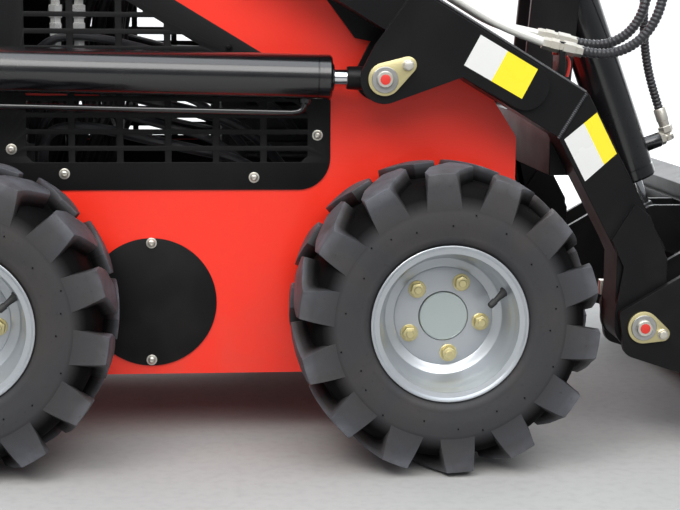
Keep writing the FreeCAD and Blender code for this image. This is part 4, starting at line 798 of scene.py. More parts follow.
@dataclass
class Wheel:
    """A wheel with its lugged tyre, dished rim, hub cap, nuts and valve.

    Sizes are millimetres; "out" runs from the tyre's middle to the outboard side.
    """

    shop: Shop
    lugs: int = 14
    tip_radius: float = 228.0
    shoulder_radius: float = 221.0
    lug_foot: float = 172.0
    lug_depth: float = 40.0
    stud_circle: float = 57.15
    disc_face: float = 31.0
    parts: list[bpy.types.Object] = field(default_factory=list)

    SECTION = [(84, 103.3), (87, 108), (88, 113), (95.5, 117.2), (97.6, 119), (101.5, 122), (103.8, 127),
               (104.0, 130), (104.3, 133), (106.2, 142), (106.9, 152), (106.6, 165), (104.0, 181), (98, 192), (88, 199),
               (75, 203), (40, 205), (0, 205.5)]
    RIM = [(96.5, 115.5), (98.3, 116), (99, 115), (98.6, 113.2), (96.5, 111.5), (93, 108), (91, 104), (88, 102.5),
           (78, 101), (74, 99.5), (70, 97), (60, 93.5), (42, 91), (36, 88), (32.5, 82), (31.2, 76), (30, 74.5),
           (30.6, 73.6), (31, 72.8), (31, 37.6), (26, 37.6), (26, 74), (24, 88), (20, 98), (-90, 98), (-96, 106),
           (-99, 115), (-98.3, 116), (-96.5, 115.5), (-93.5, 103.2), (93.5, 103.2)]
    LUG = [(8, 3), (38, 3), (42, 28), (26, 62), (12, 84), (2, 107), (-38, 107), (-40, 84), (-28, 52), (-4, 24)]

    def build(self) -> None:
        """Model one wheel at the front right and copy it to the other corners."""
        first = {"tyre": self.tyre(), "rim": self.rim(), "hub": self.hub()}
        places = {joint["child"]: Vector(joint["pos_m"]) for joint in self.shop.frame["joints"]
                  if joint["name"].startswith("wheel_")}
        for body, place in places.items():
            corner = body.removeprefix("wheel_")
            flip = Matrix.Scale(-1, 4, (0, 1, 0)) if corner.endswith("left") else Matrix()
            for stem, (data, finishes) in first.items():
                thing = self.shop.placed(data, f"{stem}_{corner}_finished", body, Matrix.Translation(place) @ flip,
                                         finishes, [f"{stem}_{corner}"])
                self.parts.append(thing)

    def tyre(self) -> tuple[bmesh.types.BMesh, list[Finish]]:
        """Spin the carcass and wrap both rings of lugs round it."""
        mesh = bmesh.new()
        scuff = mesh.verts.layers.float.new("scuff")
        half = self.SECTION
        turned(mesh, half + [(-out, radius) for out, radius in reversed(half[:-1])], 8 * self.lugs, closed=True)
        # Pockets between the lugs get low values, painted shade; the rest of the carcass stays plain at 0.5
        for vert in mesh.verts:
            radius = math.hypot(vert.co.x, vert.co.z) / MM
            vert[scuff] = 0.0 if radius > 190 else 0.15 if radius > 180 else 0.5
        for side in (1, -1):
            for number in range(self.lugs):
                turn = math.tau * (number + (0 if side > 0 else 0.5)) / self.lugs
                self.lug(mesh, scuff, side, turn)
        for number in range(22):
            turn = math.tau * (number + 0.3 * math.sin(5.0 * number)) / 22
            radius = (146, 164, 155)[number % 3]
            place = Vector((math.sin(turn) * radius * MM, 106.0 * MM, math.cos(turn) * radius * MM))
            moved(mesh, turned(mesh, [(0, 0), (0, 1.3), (2.2, 1.0), (2.6, 0)], 8), aimed(place, Vector((0, 1, 0))))
        moved(mesh, list(mesh.verts), Matrix.Scale(-1, 4, (0, 1, 0)))
        return mesh, [TYRE]

    def lug(self, mesh: bmesh.types.BMesh, scuff: bmesh.types.BMLayerItem, side: int, turn: float) -> None:
        """Draw one lug flat, bevel its rim and wrap it round the tread.

        Args:
            mesh: The tyre's mesh.
            scuff: Vertex layer; above 0.5 it marks worn lug tops with painted highlight on their edges, below 0.5
                painted shade in the pockets and down the lug sides.
            side: 1 for the outboard ring, -1 for the inboard one.
            turn: Place round the axle in radians.
        """
        work = bmesh.new()
        face = work.faces.new([work.verts.new((s, out, 0)) for s, out in self.LUG])
        if face.normal.z < 0:
            bmesh.ops.reverse_faces(work, faces=[face])
        for cut in (16, 30, 45, 60, 72, 84, 96):
            bmesh.ops.bisect_plane(work, geom=[*work.verts, *work.edges, *work.faces], plane_co=(0, cut, 0),
                                   plane_no=(0, 1, 0), dist=1e-4)
        for cut in (-30, -14, 2, 18):
            bmesh.ops.bisect_plane(work, geom=[*work.verts, *work.edges, *work.faces], plane_co=(cut, 0, 0),
                                   plane_no=(1, 0, 0), dist=1e-4)
        top = list(work.faces)
        rim = [edge for edge in work.edges if edge.is_boundary]
        for _ in range(3):
            grown = bmesh.ops.extrude_edge_only(work, edges=rim)["geom"]
            verts = [item for item in grown if isinstance(item, bmesh.types.BMVert)]
            bmesh.ops.translate(work, vec=(0, 0, -self.lug_depth / 3), verts=verts)
            rim = [item for item in grown if isinstance(item, bmesh.types.BMEdge) and item.is_boundary]
        bmesh.ops.recalc_face_normals(work, faces=work.faces)
        if top[0].normal.z < 0:
            bmesh.ops.reverse_faces(work, faces=work.faces)
        border = [edge for edge in work.edges if len(edge.link_faces) == 2
                  and edge.calc_face_angle(0.0) > math.radians(50) and all(vert.co.z > -1 for vert in edge.verts)]
        bmesh.ops.bevel(work, geom=border, offset=3.0, offset_type="OFFSET", segments=2, profile=0.5,
                        affect="EDGES", material=-1, clamp_overlap=True)
        spots = {}
        for vert in work.verts:
            s, out, deep = vert.co.x, vert.co.y, -vert.co.z / self.lug_depth
            fade = min(1.0, max(0.0, (out - 84) / 24))
            centre = -14 - 6 * fade if out > 84 else 12 - 0.31 * out
            factor = 1 + 0.75 * deep * fade + 0.12 * deep * (1 - fade)
            crown = self.tip_radius - (self.tip_radius - self.shoulder_radius) * max(0.0, out / 108) ** 2.4
            floor = self.foot(out)
            radius = crown - deep * (crown - floor)
            angle = turn + (centre + (s - centre) * factor) / self.tip_radius
            spread = out + (2.0 * deep if out < 100 else -1.2 * deep)
            new = mesh.verts.new((radius * math.sin(angle) * MM, side * spread * MM, radius * math.cos(angle) * MM))
            # Lug tops and rounded top edges take 1, tread wear with painted highlight; lug sides fall towards 0 at the
            # foot, painted shade
            new[scuff] = 1.0 if deep < 0.12 else max(0.0, 0.6 - 0.8 * deep)
            # The shoulder ends of the lugs take no painted shade and stay a little lighter than plain
            if out > 100:
                new[scuff] = max(0.5, 0.7 - 0.22 * deep) if deep > 0.08 else 1.0
            spots[vert] = new
        faces = [mesh.faces.new([spots[vert] for vert in face.verts]) for face in work.faces]
        if side < 0:
            bmesh.ops.reverse_faces(mesh, faces=faces)
        work.free()

    def foot(self, out: float) -> float:
        """Return how deep a lug reaches at a distance from the middle."""
        below = next((pair for pair in zip(self.SECTION[12:], self.SECTION[13:]) if pair[1][0] <= out <= pair[0][0]),
                     None)
        if below is None:
            return self.lug_foot - 2
        (far, low), (near, high) = below
        return low + (high - low) * (far - out) / max(far - near, 1e-6) - 4

    def rim(self) -> tuple[bmesh.types.BMesh, list[Finish]]:
        """Spin the rim and add the weld ring behind its disc."""
        mesh = bmesh.new()
        turned(mesh, self.RIM, 112, closed=True)
        turned(mesh, [(24, 97), (28, 97.4), (29, 92), (25, 89)], 112, closed=True)
        moved(mesh, list(mesh.verts), Matrix.Scale(-1, 4, (0, 1, 0)))
        return mesh, [RIM]

    def hub(self) -> tuple[bmesh.types.BMesh, list[Finish]]:
        """Make the hub drum, its cap, five nuts on washers and the valve."""
        mesh = bmesh.new()
        turned(mesh, [(-8, 0), (-8, 44), (-6, 46), (8, 46), (10, 52), (12, 66), (25.6, 66), (25.6, 37), (31, 36.2)],
               64, index=1)
        turned(mesh, [(30, 36.4), (33.2, 36.4), (34.2, 35.4), (34.2, 34.6), (33.8, 34.2), (33.8, 0)], 64)
        for number in range(5):
            turn = math.radians(62.5 + 72 * number)
            place = Vector((self.stud_circle * math.cos(turn) * MM, self.disc_face * MM,
                            self.stud_circle * math.sin(turn) * MM))
            bolt(mesh, place, Vector((0, 1, 0)), 19, washer=13.2, stud=6, index=2, turn=17 * number)
        turn = math.radians(26)
        outward = Vector((math.cos(turn), 0, math.sin(turn)))
        foot = outward * 97 * MM + Vector((0, 62 * MM, 0))
        way = (outward * -0.86 + Vector((0, 0.36, 0)) + Vector((-0.1, 0, -0.35))).normalized()
        valve = [(0, 0), (0, 8), (3, 8), (5, 6.2), (14, 4.6), (22, 4.2), (22.5, 5.2), (24, 5.4), (33, 5.0),
                 (34.5, 3.6), (34.8, 0)]
        moved(mesh, turned(mesh, valve, 24, index=3), aimed(foot, way))
        moved(mesh, list(mesh.verts), Matrix.Scale(-1, 4, (0, 1, 0)))
        return mesh, [CAP, STEEL, ZINC, RUBBER]


# Body


@dataclass
class Body:
    """The red body: side plates, slotted panels, covers, frame, axle tubes and what is bolted on."""

    shop: Shop
    half_width: float = 275.0
    panel_wall: float = 3.0
    slope: float = 30.9
    slot_left: float = -271.5
    slot_low: float = 443.5
    slot_size: tuple[float, float] = (63.5, 17.5)
    slot_pitch: tuple[float, float] = (74.0, 25.6)
    slot_roof: float = 46.0
    screws: Sequence[tuple[float, float]] = ((-294.5, 463.9), (-214.6, 425.7), (78.3, 419.5), (177.5, 485.6))
    cover_screws: Sequence[tuple[float, float]] = ((-82.3, 316.7), (-83.9, 129.5))

    def build(self) -> None:
        """Dress the body's nodes and add its fasteners."""
        for side in Side:
            self.side_plate(side)
            self.panel(side)
            self.cover(side)
        # The frame's inner faces get near-black painted shade
        self.shop.carried("chassis_frame", RED, 1.5, BAY_SHADE)
        self.shop.carried("axle_housings", BLACK, 2.0)
        self.shop.carried("platform_mounts", BLACK, 1.5)
        self.shop.carried("tow_eye", BLACK, 2.0)

    def side_plate(self, side: Side) -> None:
        """Dress a side plate."""
        # Its inner faces get near-black painted shade
        self.shop.carried(f"side_plate_{side.word}", RED, 1.6, BAY_SHADE)

    def slots(self) -> list[list[tuple[float, float]]]:
        """Return the outlines of the panel's slots, cut off along the slope."""
        wide, tall = self.slot_size
        rise = math.tan(math.radians(self.slope))
        found = []
        for column in range(6):
            left = self.slot_left + column * self.slot_pitch[0]
            right = left + wide
            roof = {x: 548.6 + (198 - x) * rise - self.slot_roof for x in (left, right)}
            for row in range(12):
                low = self.slot_low + row * self.slot_pitch[1]
                high = low + tall
                if low > roof[left] - 9:
                    break
                outline = [(left, low), (right, low), (right, high), (left, high)]
                if row == 0 and column == 0:
                    outline[:1] = [(left, low + 10), (left + 10, low)]
                if row == 0 and column == 5:
                    outline[1:2] = [(right - 10, low), (right, low + 10)]
                if high > roof[right]:
                    outline = self.clipped(outline, left, roof[left], rise)
                found.append(rounded([(x, z, 1.2) for x, z in outline], 2))
        return found

    def clipped(self, outline: Outline, x: float, z: float, rise: float) -> Outline:
        """Keep what of an outline lies under a line that falls to the right through a point."""
        kept = []
        for (x1, z1), (x2, z2) in zip(outline, [*outline[1:], outline[0]]):
            over1, over2 = (z1 - z + (x1 - x) * rise), (z2 - z + (x2 - x) * rise)
            if over1 <= 0:
                kept.append((x1, z1))
            if over1 * over2 < 0:
                share = over1 / (over1 - over2)
                kept.append((x1 + (x2 - x1) * share, z1 + (z2 - z1) * share))
        return [spot for number, spot in enumerate(kept) if math.dist(spot, kept[number - 1]) > 4.0]

    def panel(self, side: Side) -> None:
        """Cut a slotted panel out of sheet and screw it on."""
        mesh = bmesh.new()
        rise = (198 + 317) * math.tan(math.radians(self.slope))
        edge = rounded([(-317, 400, 50), (198, 400, 50), (198, 548.6, 6), (-317, 548.6 + rise, 3)], 10)
        face = side.value * (self.half_width + self.panel_wall)
        sheet(mesh, [edge, *self.slots()], side.value * self.half_width, face, 0.7)
        near, far = sorted((side.value * (self.half_width + 0.05), side.value * (self.half_width + 0.5)))
        slab(mesh, [(169, 440), (190, 440), (190, 524), (169, 524)], near, far)
        for x, z in self.screws:
            button(mesh, Vector((x * MM, face * MM, z * MM)), Vector((0, side.value, 0)), 6.2, index=1)
        button(mesh, Vector((39.9 * MM, face * MM, 621.3 * MM)), Vector((0, side.value, 0)), 4.6, index=0)
        self.finish(mesh, f"grille_{side.word}", PANEL, PALE_ZINC)

    def cover(self, side: Side) -> None:
        """Make the round cover with its two screws."""
        mesh = bmesh.new()
        face = side.value * (self.half_width + self.panel_wall)
        sheet(mesh, [disc(-83, 222, 102, 96)], side.value * self.half_width, face, 0.7)
        for x, z in self.cover_screws:
            button(mesh, Vector((x * MM, face * MM, z * MM)), Vector((0, side.value, 0)), 6.2, index=1)
        self.finish(mesh, f"access_cover_{side.word}", PANEL, PALE_ZINC)

    def finish(self, mesh: bmesh.types.BMesh, node: str, *finishes: Finish) -> None:
        """Set a mesh drawn from the middle of the wheelbase in place of a CAD node."""
        moved(mesh, list(mesh.verts), Matrix.Translation((self.shop.middle, 0, 0)))
        self.shop.piece(mesh, f"{node}_finished", self.shop.body_of(node), *finishes, replaces=[node])


@dataclass
class EngineBay:
    """What shows through the slots: engine, muffler, tanks, valve block and hoses."""

    shop: Shop

    def build(self) -> None:
        """Dress the masses inside and add ribs, fittings and hoses."""
        self.shop.carried("engine", ENGINE, 5.0)
        self.shop.carried("muffler", HOT, 3.0)
        self.shop.carried("hydraulic_tank", BLACK, 6.0)
        self.shop.carried("fuel_tank", PLASTIC, 14.0)
        self.valve()
        self.fins()
        self.hoses()

    def valve(self) -> None:
        """Make the valve block with its spools and two pipe fittings."""
        mesh = bmesh.new()
        brick(mesh, (-290, -245, 560), (-170, -165, 620), 2.0)
        for x in (-228.0, -192.0):
            fitting = [(600, 0), (600, 15), (622, 15), (622, 12), (636, 12), (637, 14.5), (656, 14.5), (657, 12),
                       (664, 12), (665, 16), (684, 16), (685, 11), (698, 10), (698, 0)]
            up = Matrix.Translation((x * MM, -225 * MM, 0)) @ Matrix.Rotation(math.pi / 2, 4, "X")
            moved(mesh, turned(mesh, [(along, radius * 0.72) for along, radius in fitting], 6, index=2), up)
        for x in (-270, -240, -210, -186):
            place = Vector((x * MM, -245 * MM, 590 * MM))
            spool = [(0, 0), (0, 11), (10, 11), (11, 9), (20, 9), (21, 6), (26, 6), (26, 0)]
            moved(mesh, turned(mesh, spool, 20, index=1), aimed(place, Vector((0, -1, 0))))
        moved(mesh, list(mesh.verts), Matrix.Translation((self.shop.middle, 0, 0)))
        self.shop.piece(mesh, "hydraulic_valve_finished", "chassis", ENGINE, STEEL, NICKEL, replaces=["hydraulic_valve"])

    def fins(self) -> None:
        """Rib the engine block's flank and cover its top."""
        mesh = bmesh.new()
        for side in Side:
            face = side.value * 150
            for number in range(9):
                low = 400 + number * 20
                brick(mesh, (70, min(face, face + side.value * 16), low), (300, max(face, face + side.value * 16), low + 6), 1.0)
            for x in (95, 180, 265):
                place = Vector((x * MM, (face + side.value * 16) * MM, 370 * MM))
                bolt(mesh, place, Vector((0, side.value, 0)), 17, washer=13, index=1)
                brick(mesh, (x - 22, min(face, face + side.value * 16), 340), (x + 22, max(face, face + side.value * 16), 392), 3.0)
        moved(mesh, list(mesh.verts), Matrix.Translation((self.shop.middle, 0, 0)))
        self.shop.piece(mesh, "engine_fins", "chassis", ENGINE, STEEL)

    def hoses(self) -> None:
        """Run hoses behind the slotted panels."""
        mesh = bmesh.new()
        at = self.shop.at
        for number, (high, reach) in enumerate(((640, 20), (612, 60), (585, -20), (560, 35), (528, 5), (500, 50))):
            for side in Side:
                y = side.value * (236 + 6 * (number % 3))
                points = [at(-300 + 10 * number, y * 0.9, high - 90), at(-260, y, high - 12), at(-180, y, high),
                          at(-60, y, high - 30), at(40 + reach, y, high - 60), at(90 + reach, y * 0.8, high - 130)]
                tube(mesh, points, 8.5 if number % 2 else 6.5, 12)
        for number in range(15):
            x, y = -262 + 9.0 * number, 40 * math.sin(2.4 * number)
            sway = 26 * math.sin(1.7 * number)
            points = [at(x - 60, y, 330), at(x + sway, y - 20, 430), at(x - sway, y + 25, 540), at(x + 0.6 * sway, y, 640),
                      at(x + 14, y, 712 - 5 * (number % 4))]
            tube(mesh, points, 8.5 + number % 3, 12)
        self.shop.piece(mesh, "bay_hoses", "chassis", HOSE)


# Boom, cylinders and tool


@dataclass
class Boom:
    """Both boom arms with their brackets, welds, pins and sticker plates."""

    shop: Shop
    inner: float = 290.0
    outer: float = 365.0
    doubler: float = 8.0
    slope: float = 30.9

    def build(self) -> None:
        """Dress the arms, the cross tube and the pins."""
        self.trim()
        for side in Side:
            self.shop.carried(f"boom_arm_{side.word}", BLACK, 2.0)
            self.stickers(side)
            self.welds(side)
            self.retainers(side)
        self.shop.carried("boom_crossbeam", BLACK, 2.0)
        self.shop.carried("boom_pins", STEEL, 1.2)
        self.shop.carried("tilt_base_pin", STEEL, 1.5)

    def stickers(self, side: Side) -> None:
        """Lay the two blank sticker plates on the outer face."""
        mesh = bmesh.new()
        first = [(415.5, 643.9), (503.9, 592.8), (480.5, 548.2), (390.9, 598.4)]
        second = [(549.7, 486.1), (599.4, 527.5), (632.5, 464.4), (584.3, 421.6)]
        for corners, face, share in ((first, self.outer + self.doubler, 0.47), (second, self.outer, 0.60)):
            a, b, c, d = (Vector(corner) for corner in corners)
            low, high = (face, face + 0.25) if side is Side.LEFT else (-face - 0.25, -face)
            near, far = a.lerp(b, share), d.lerp(c, share)
            halves = ([a, near, far, d], [near, b, c, far])
            for index, outline in enumerate(halves):
                slab(mesh, [tuple(point) for point in outline], low, high, 0.0, index)
        moved(mesh, list(mesh.verts), Matrix.Translation((self.shop.middle, 0, 0)))
        self.shop.piece(mesh, f"sticker_plates_{side.word}", "boom", WHITE_FILM, YELLOW_FILM)

    def welds(self, side: Side) -> None:
        """Lay the weld beads along the elbow seam and the arm's top edge."""
        mesh = bmesh.new()
        at = self.shop.at
        y = side.value * self.outer
        bead(mesh, at(582, y, 556), at(540, y, 487), 3.4)
        bead(mesh, at(300, y * 0.993, self.top(300)), at(582, y * 0.993, self.top(582)), 3.0)
        self.shop.piece(mesh, f"arm_welds_{side.word}", "boom", WELD)

    def top(self, x: float) -> float:
        """Return the height of an arm's top face."""
        run = math.radians(self.slope)
        return 1057 + 40 / math.cos(run) - (x + 330) * math.tan(run)

    def trim(self) -> None:
        """Add the pale lilac strip between the tilt brackets, a painted reflection of the sky on a black plate's edge,
        and the red tie at the pipes.
        """
        mesh = bmesh.new()
        # A thin pale lilac strip: painted reflection of the sky on a black plate's edge
        glint_strip = slab(mesh, [(597, 700), (610, 700), (583, 602), (570, 602)], -4, 4, 0.6)
        moved(mesh, glint_strip, Matrix.Translation((self.shop.middle, 0, 0)))
        tube(mesh, [self.shop.at(x, -330, z) for x, z in ((536, 616), (552, 616), (566, 602), (559, 580))], 2.6, 10,
             index=1)
        self.shop.piece(mesh, "boom_trim", "boom", SKY_GLINT, RED_MARK)

    def retainers(self, side: Side) -> None:
        """Make the teardrop plate that keeps the lift pin from turning."""
        mesh = bmesh.new()
        low = self.outer + self.doubler
        retainer(mesh, self.shop, side, (270.8, 576.8), 25.0, (305.7, 598.1), 13.0, low)
        self.shop.piece(mesh, f"lift_pin_retainer_{side.word}", "boom", ZINC, PALE_ZINC, RED_MARK)


def retainer(mesh: bmesh.types.BMesh, shop: Shop, side: Side, large: tuple[float, float], large_radius: float,
             small: tuple[float, float], small_radius: float, low: float) -> None:
    """Make a teardrop plate with its pin end, red mark and bolt.

    Args:
        mesh: The mesh that takes the shape.
        shop: Gives the frame's middle.
        side: The machine's side.
        large: Centre of the large end.
        large_radius: Radius of the large end.
        small: Centre of the small end.
        small_radius: Radius of the small end.
        low: Face that it lies on.
    """
    big, little = Vector(large), Vector(small)
    along = (little - big).normalized()
    lean = math.acos((large_radius - small_radius) / (little - big).length)
    base = math.atan2(along.y, along.x)
    outline = []
    for centre, radius, start, sweep in ((big, large_radius, base + lean, math.tau - 2 * lean),
                                         (little, small_radius, base - lean, 2 * lean)):
        for step in range(25):
            turn = start + sweep * step / 24
            outline.append((centre.x + radius * math.cos(turn), centre.y + radius * math.sin(turn)))
    wall = 5.0
    faces = sorted((side.value * low, side.value * (low + wall)))
    shape = slab(mesh, outline, *faces, bevel=0.8)
    moved(mesh, shape, Matrix.Translation((shop.middle, 0, 0)))
    way = Vector((0, side.value, 0))
    pin = [(0, 16.5), (1.2, 17.2), (2.6, 16.2), (2.8, 13.2), (2.2, 12.9), (7.2, 12.6), (8.4, 11.4), (8.6, 0)]
    moved(mesh, turned(mesh, pin, 40, index=1), aimed(shop.at(big.x, side.value * (low + wall), big.y), way))
    mark = [(8.7, 7.8), (9.1, 6.4), (9.15, 0)]
    moved(mesh, turned(mesh, mark, 20, index=2), aimed(shop.at(big.x, side.value * (low + wall), big.y), way))
    bolt(mesh, shop.at(little.x, side.value * (low + wall), little.y), way, 13, washer=8.5, index=1)


@dataclass
class Cylinder:
    """A hydraulic cylinder drawn along its own line from base pin to rod pin."""

    shop: Shop
    base: tuple[float, float]
    pin: tuple[float, float]
    radius: float
    rod: float
    gland: float
    eye: float
    rod_eye: float
    width: float
    bore: float

    @property
    def length(self) -> float:
        """Return the distance between the pins."""
        return math.dist(self.base, self.pin)

    def place(self, y: float) -> Matrix:
        """Return the matrix from the drawing (line along Y) to the machine."""
        way = Vector((self.pin[0] - self.base[0], 0, self.pin[1] - self.base[1]))
        return aimed(self.shop.at(self.base[0], y, self.base[1]), way)

    def spot(self, along: float, out: float, y: float) -> Vector:
        """Return a place along the cylinder's line and out in front of it."""
        way = (Vector(self.pin) - Vector(self.base)).normalized()
        place = Vector(self.base) + way * along + Vector((-way.y, way.x)) * out
        return self.shop.at(place.x, y, place.y)

    def fitting(self, mesh: bmesh.types.BMesh, start: Vector, end: Vector, profile: Outline, sides: int = 24,
                index: int = 0) -> None:
        """Turn a port or fitting between two places; the profile's lengths are shares of the way."""
        length = (end - start).length / MM
        shape = turned(mesh, [(share * length, radius) for share, radius in profile], sides, index=index)
        moved(mesh, shape, aimed(start, end - start))

    def tilt_ports(self) -> None:
        """Add the ports of the tilt barrel with their elbows, nuts and hose sleeves."""
        mesh = bmesh.new()
        boss = [(0, 0), (0, 14), (0.93, 14), (1, 12.6), (1, 0)]
        nut = [(0, 0), (0, 11.6), (0.08, 12.8), (0.92, 12.8), (1, 11.6), (1, 0)]
        body = [(0, 0), (0, 8.8), (1, 8.8), (1, 0)]
        sleeve = [(0, 0), (0, 9.4), (0.3, 9.4), (0.33, 10.6), (0.94, 10.6), (1, 9.6), (1, 0)]
        port, base = 393.8, 62.0
        self.fitting(mesh, self.spot(port, 34, 0), self.spot(port, 68, 0), boss)
        self.fitting(mesh, self.spot(port, 68, 0), self.spot(port, 77, 0), nut, 6, 1)
        self.fitting(mesh, self.spot(port, 76, 0), self.spot(port, 91, 0), body, 24, 1)
        self.fitting(mesh, self.spot(port + 8, 83, 0), self.spot(port - 8, 83, 0), body, 24, 1)
        self.fitting(mesh, self.spot(port - 7, 83, 0), self.spot(port - 19, 83, 0), nut, 6, 1)
        self.fitting(mesh, self.spot(port - 18, 83, 0), self.spot(port - 52, 83, 0), sleeve, 24, 1)
        self.fitting(mesh, self.spot(base, 34, 0), self.spot(base, 72, 0), boss)
        self.fitting(mesh, self.spot(base, 59, -8), self.spot(base, 59, -24), nut, 6, 1)
        self.fitting(mesh, self.spot(base, 59, -22), self.spot(base, 59, -44), sleeve, 24, 1)
        self.shop.piece(mesh, "tilt_ports", "tilt_barrel", GLOSS, PALE_ZINC)

    def feed_pipe(self, side: Side, y: float) -> None:
        """Bend the pipe that feeds the lift barrel's rod side and add its two bosses."""
        mesh = bmesh.new()
        low, end = -self.radius - 20.0, self.gland - 44.0
        spots = [(self.eye + 62, -self.radius + 2), (self.eye + 62, low + 3), (self.eye + 70, low),
                 (self.eye + 110, low), (end - 40, low), (end - 10, low), (end, low + 8), (end, -self.radius + 2)]
        tube(mesh, [self.spot(along, out, y) for along, out in spots], 5.0, 16)
        collar = [(0, 0), (0, 9), (0.8, 9), (1, 7.6), (1, 0)]
        for along in (self.eye + 62, end):
            self.fitting(mesh, self.spot(along, 4 - self.radius, y), self.spot(along, -self.radius - 7, y), collar)
        self.shop.piece(mesh, f"lift_feed_pipe_{side.word}", self.shop.body_of(f"lift_barrel_{side.word}"), GLOSS)

    def ring(self, mesh: bmesh.types.BMesh, along: float, radius: float, y: float, index: int = 0) -> None:
        """Make an eye round a pin."""
        half = self.width / 2
        profile = [(-half + 1.5, self.bore), (-half, self.bore + 1.5), (-half, radius - 2), (-half + 2, radius),
                   (half - 2, radius), (half, radius - 2), (half, self.bore + 1.5), (half - 1.5, self.bore)]
        way = (Vector(self.pin) - Vector(self.base)).normalized()
        spot = Vector(self.base) + way * along
        moved(mesh, turned(mesh, profile, 56, closed=True, index=index),
              Matrix.Translation(self.shop.at(spot.x, y, spot.y)))

    def barrel(self, name: str, y: float, replaces: str) -> None:
        """Turn the barrel with its gland and base eye."""
        mesh = bmesh.new()
        end, out = self.gland - 4.2, self.radius
        profile = [(self.eye * 0.6, 0), (self.eye * 0.6, out * 0.72), (self.eye + 5, out - 3), (self.eye + 8, out),
                   (end - 22, out), (end - 21.4, out - 0.9), (end - 20.6, out - 0.9), (end - 20, out),
                   (end - 3, out), (end, out - 2.5), (end + 0.4, self.rod + 9), (end + 3.0, self.rod + 8),
                   (end + 4.2, self.rod + 5), (end + 4.2, self.rod + 0.3), (end - 16, self.rod + 0.3)]
        moved(mesh, turned(mesh, profile, 72), self.place(y))
        self.ring(mesh, 0.0, self.eye, y)
        self.shop.piece(mesh, f"{name}_finished", self.shop.body_of(replaces), GLOSS, replaces=[replaces])

    def piston(self, name: str, y: float, replaces: str, neck: float = 26.0) -> None:
        """Turn the chromed rod with its black neck and eye."""
        mesh = bmesh.new()
        end = self.length - self.rod_eye
        profile = [(90, 0), (90, self.rod - 1), (91, self.rod), (end - neck, self.rod)]
        moved(mesh, turned(mesh, profile, 56, index=0), self.place(y))
        collar = [(end - neck, self.rod), (end - neck, self.rod + 3.4), (end - neck + 2, self.rod + 4.6),
                  (end + 8, self.rod + 5.4), (end + 8, 0)]
        moved(mesh, turned(mesh, collar, 48, index=1), self.place(y))
        self.ring(mesh, self.length, self.rod_eye, y, 1)
        self.shop.piece(mesh, f"{name}_finished", self.shop.body_of(replaces), CHROME, BLACK, replaces=[replaces])


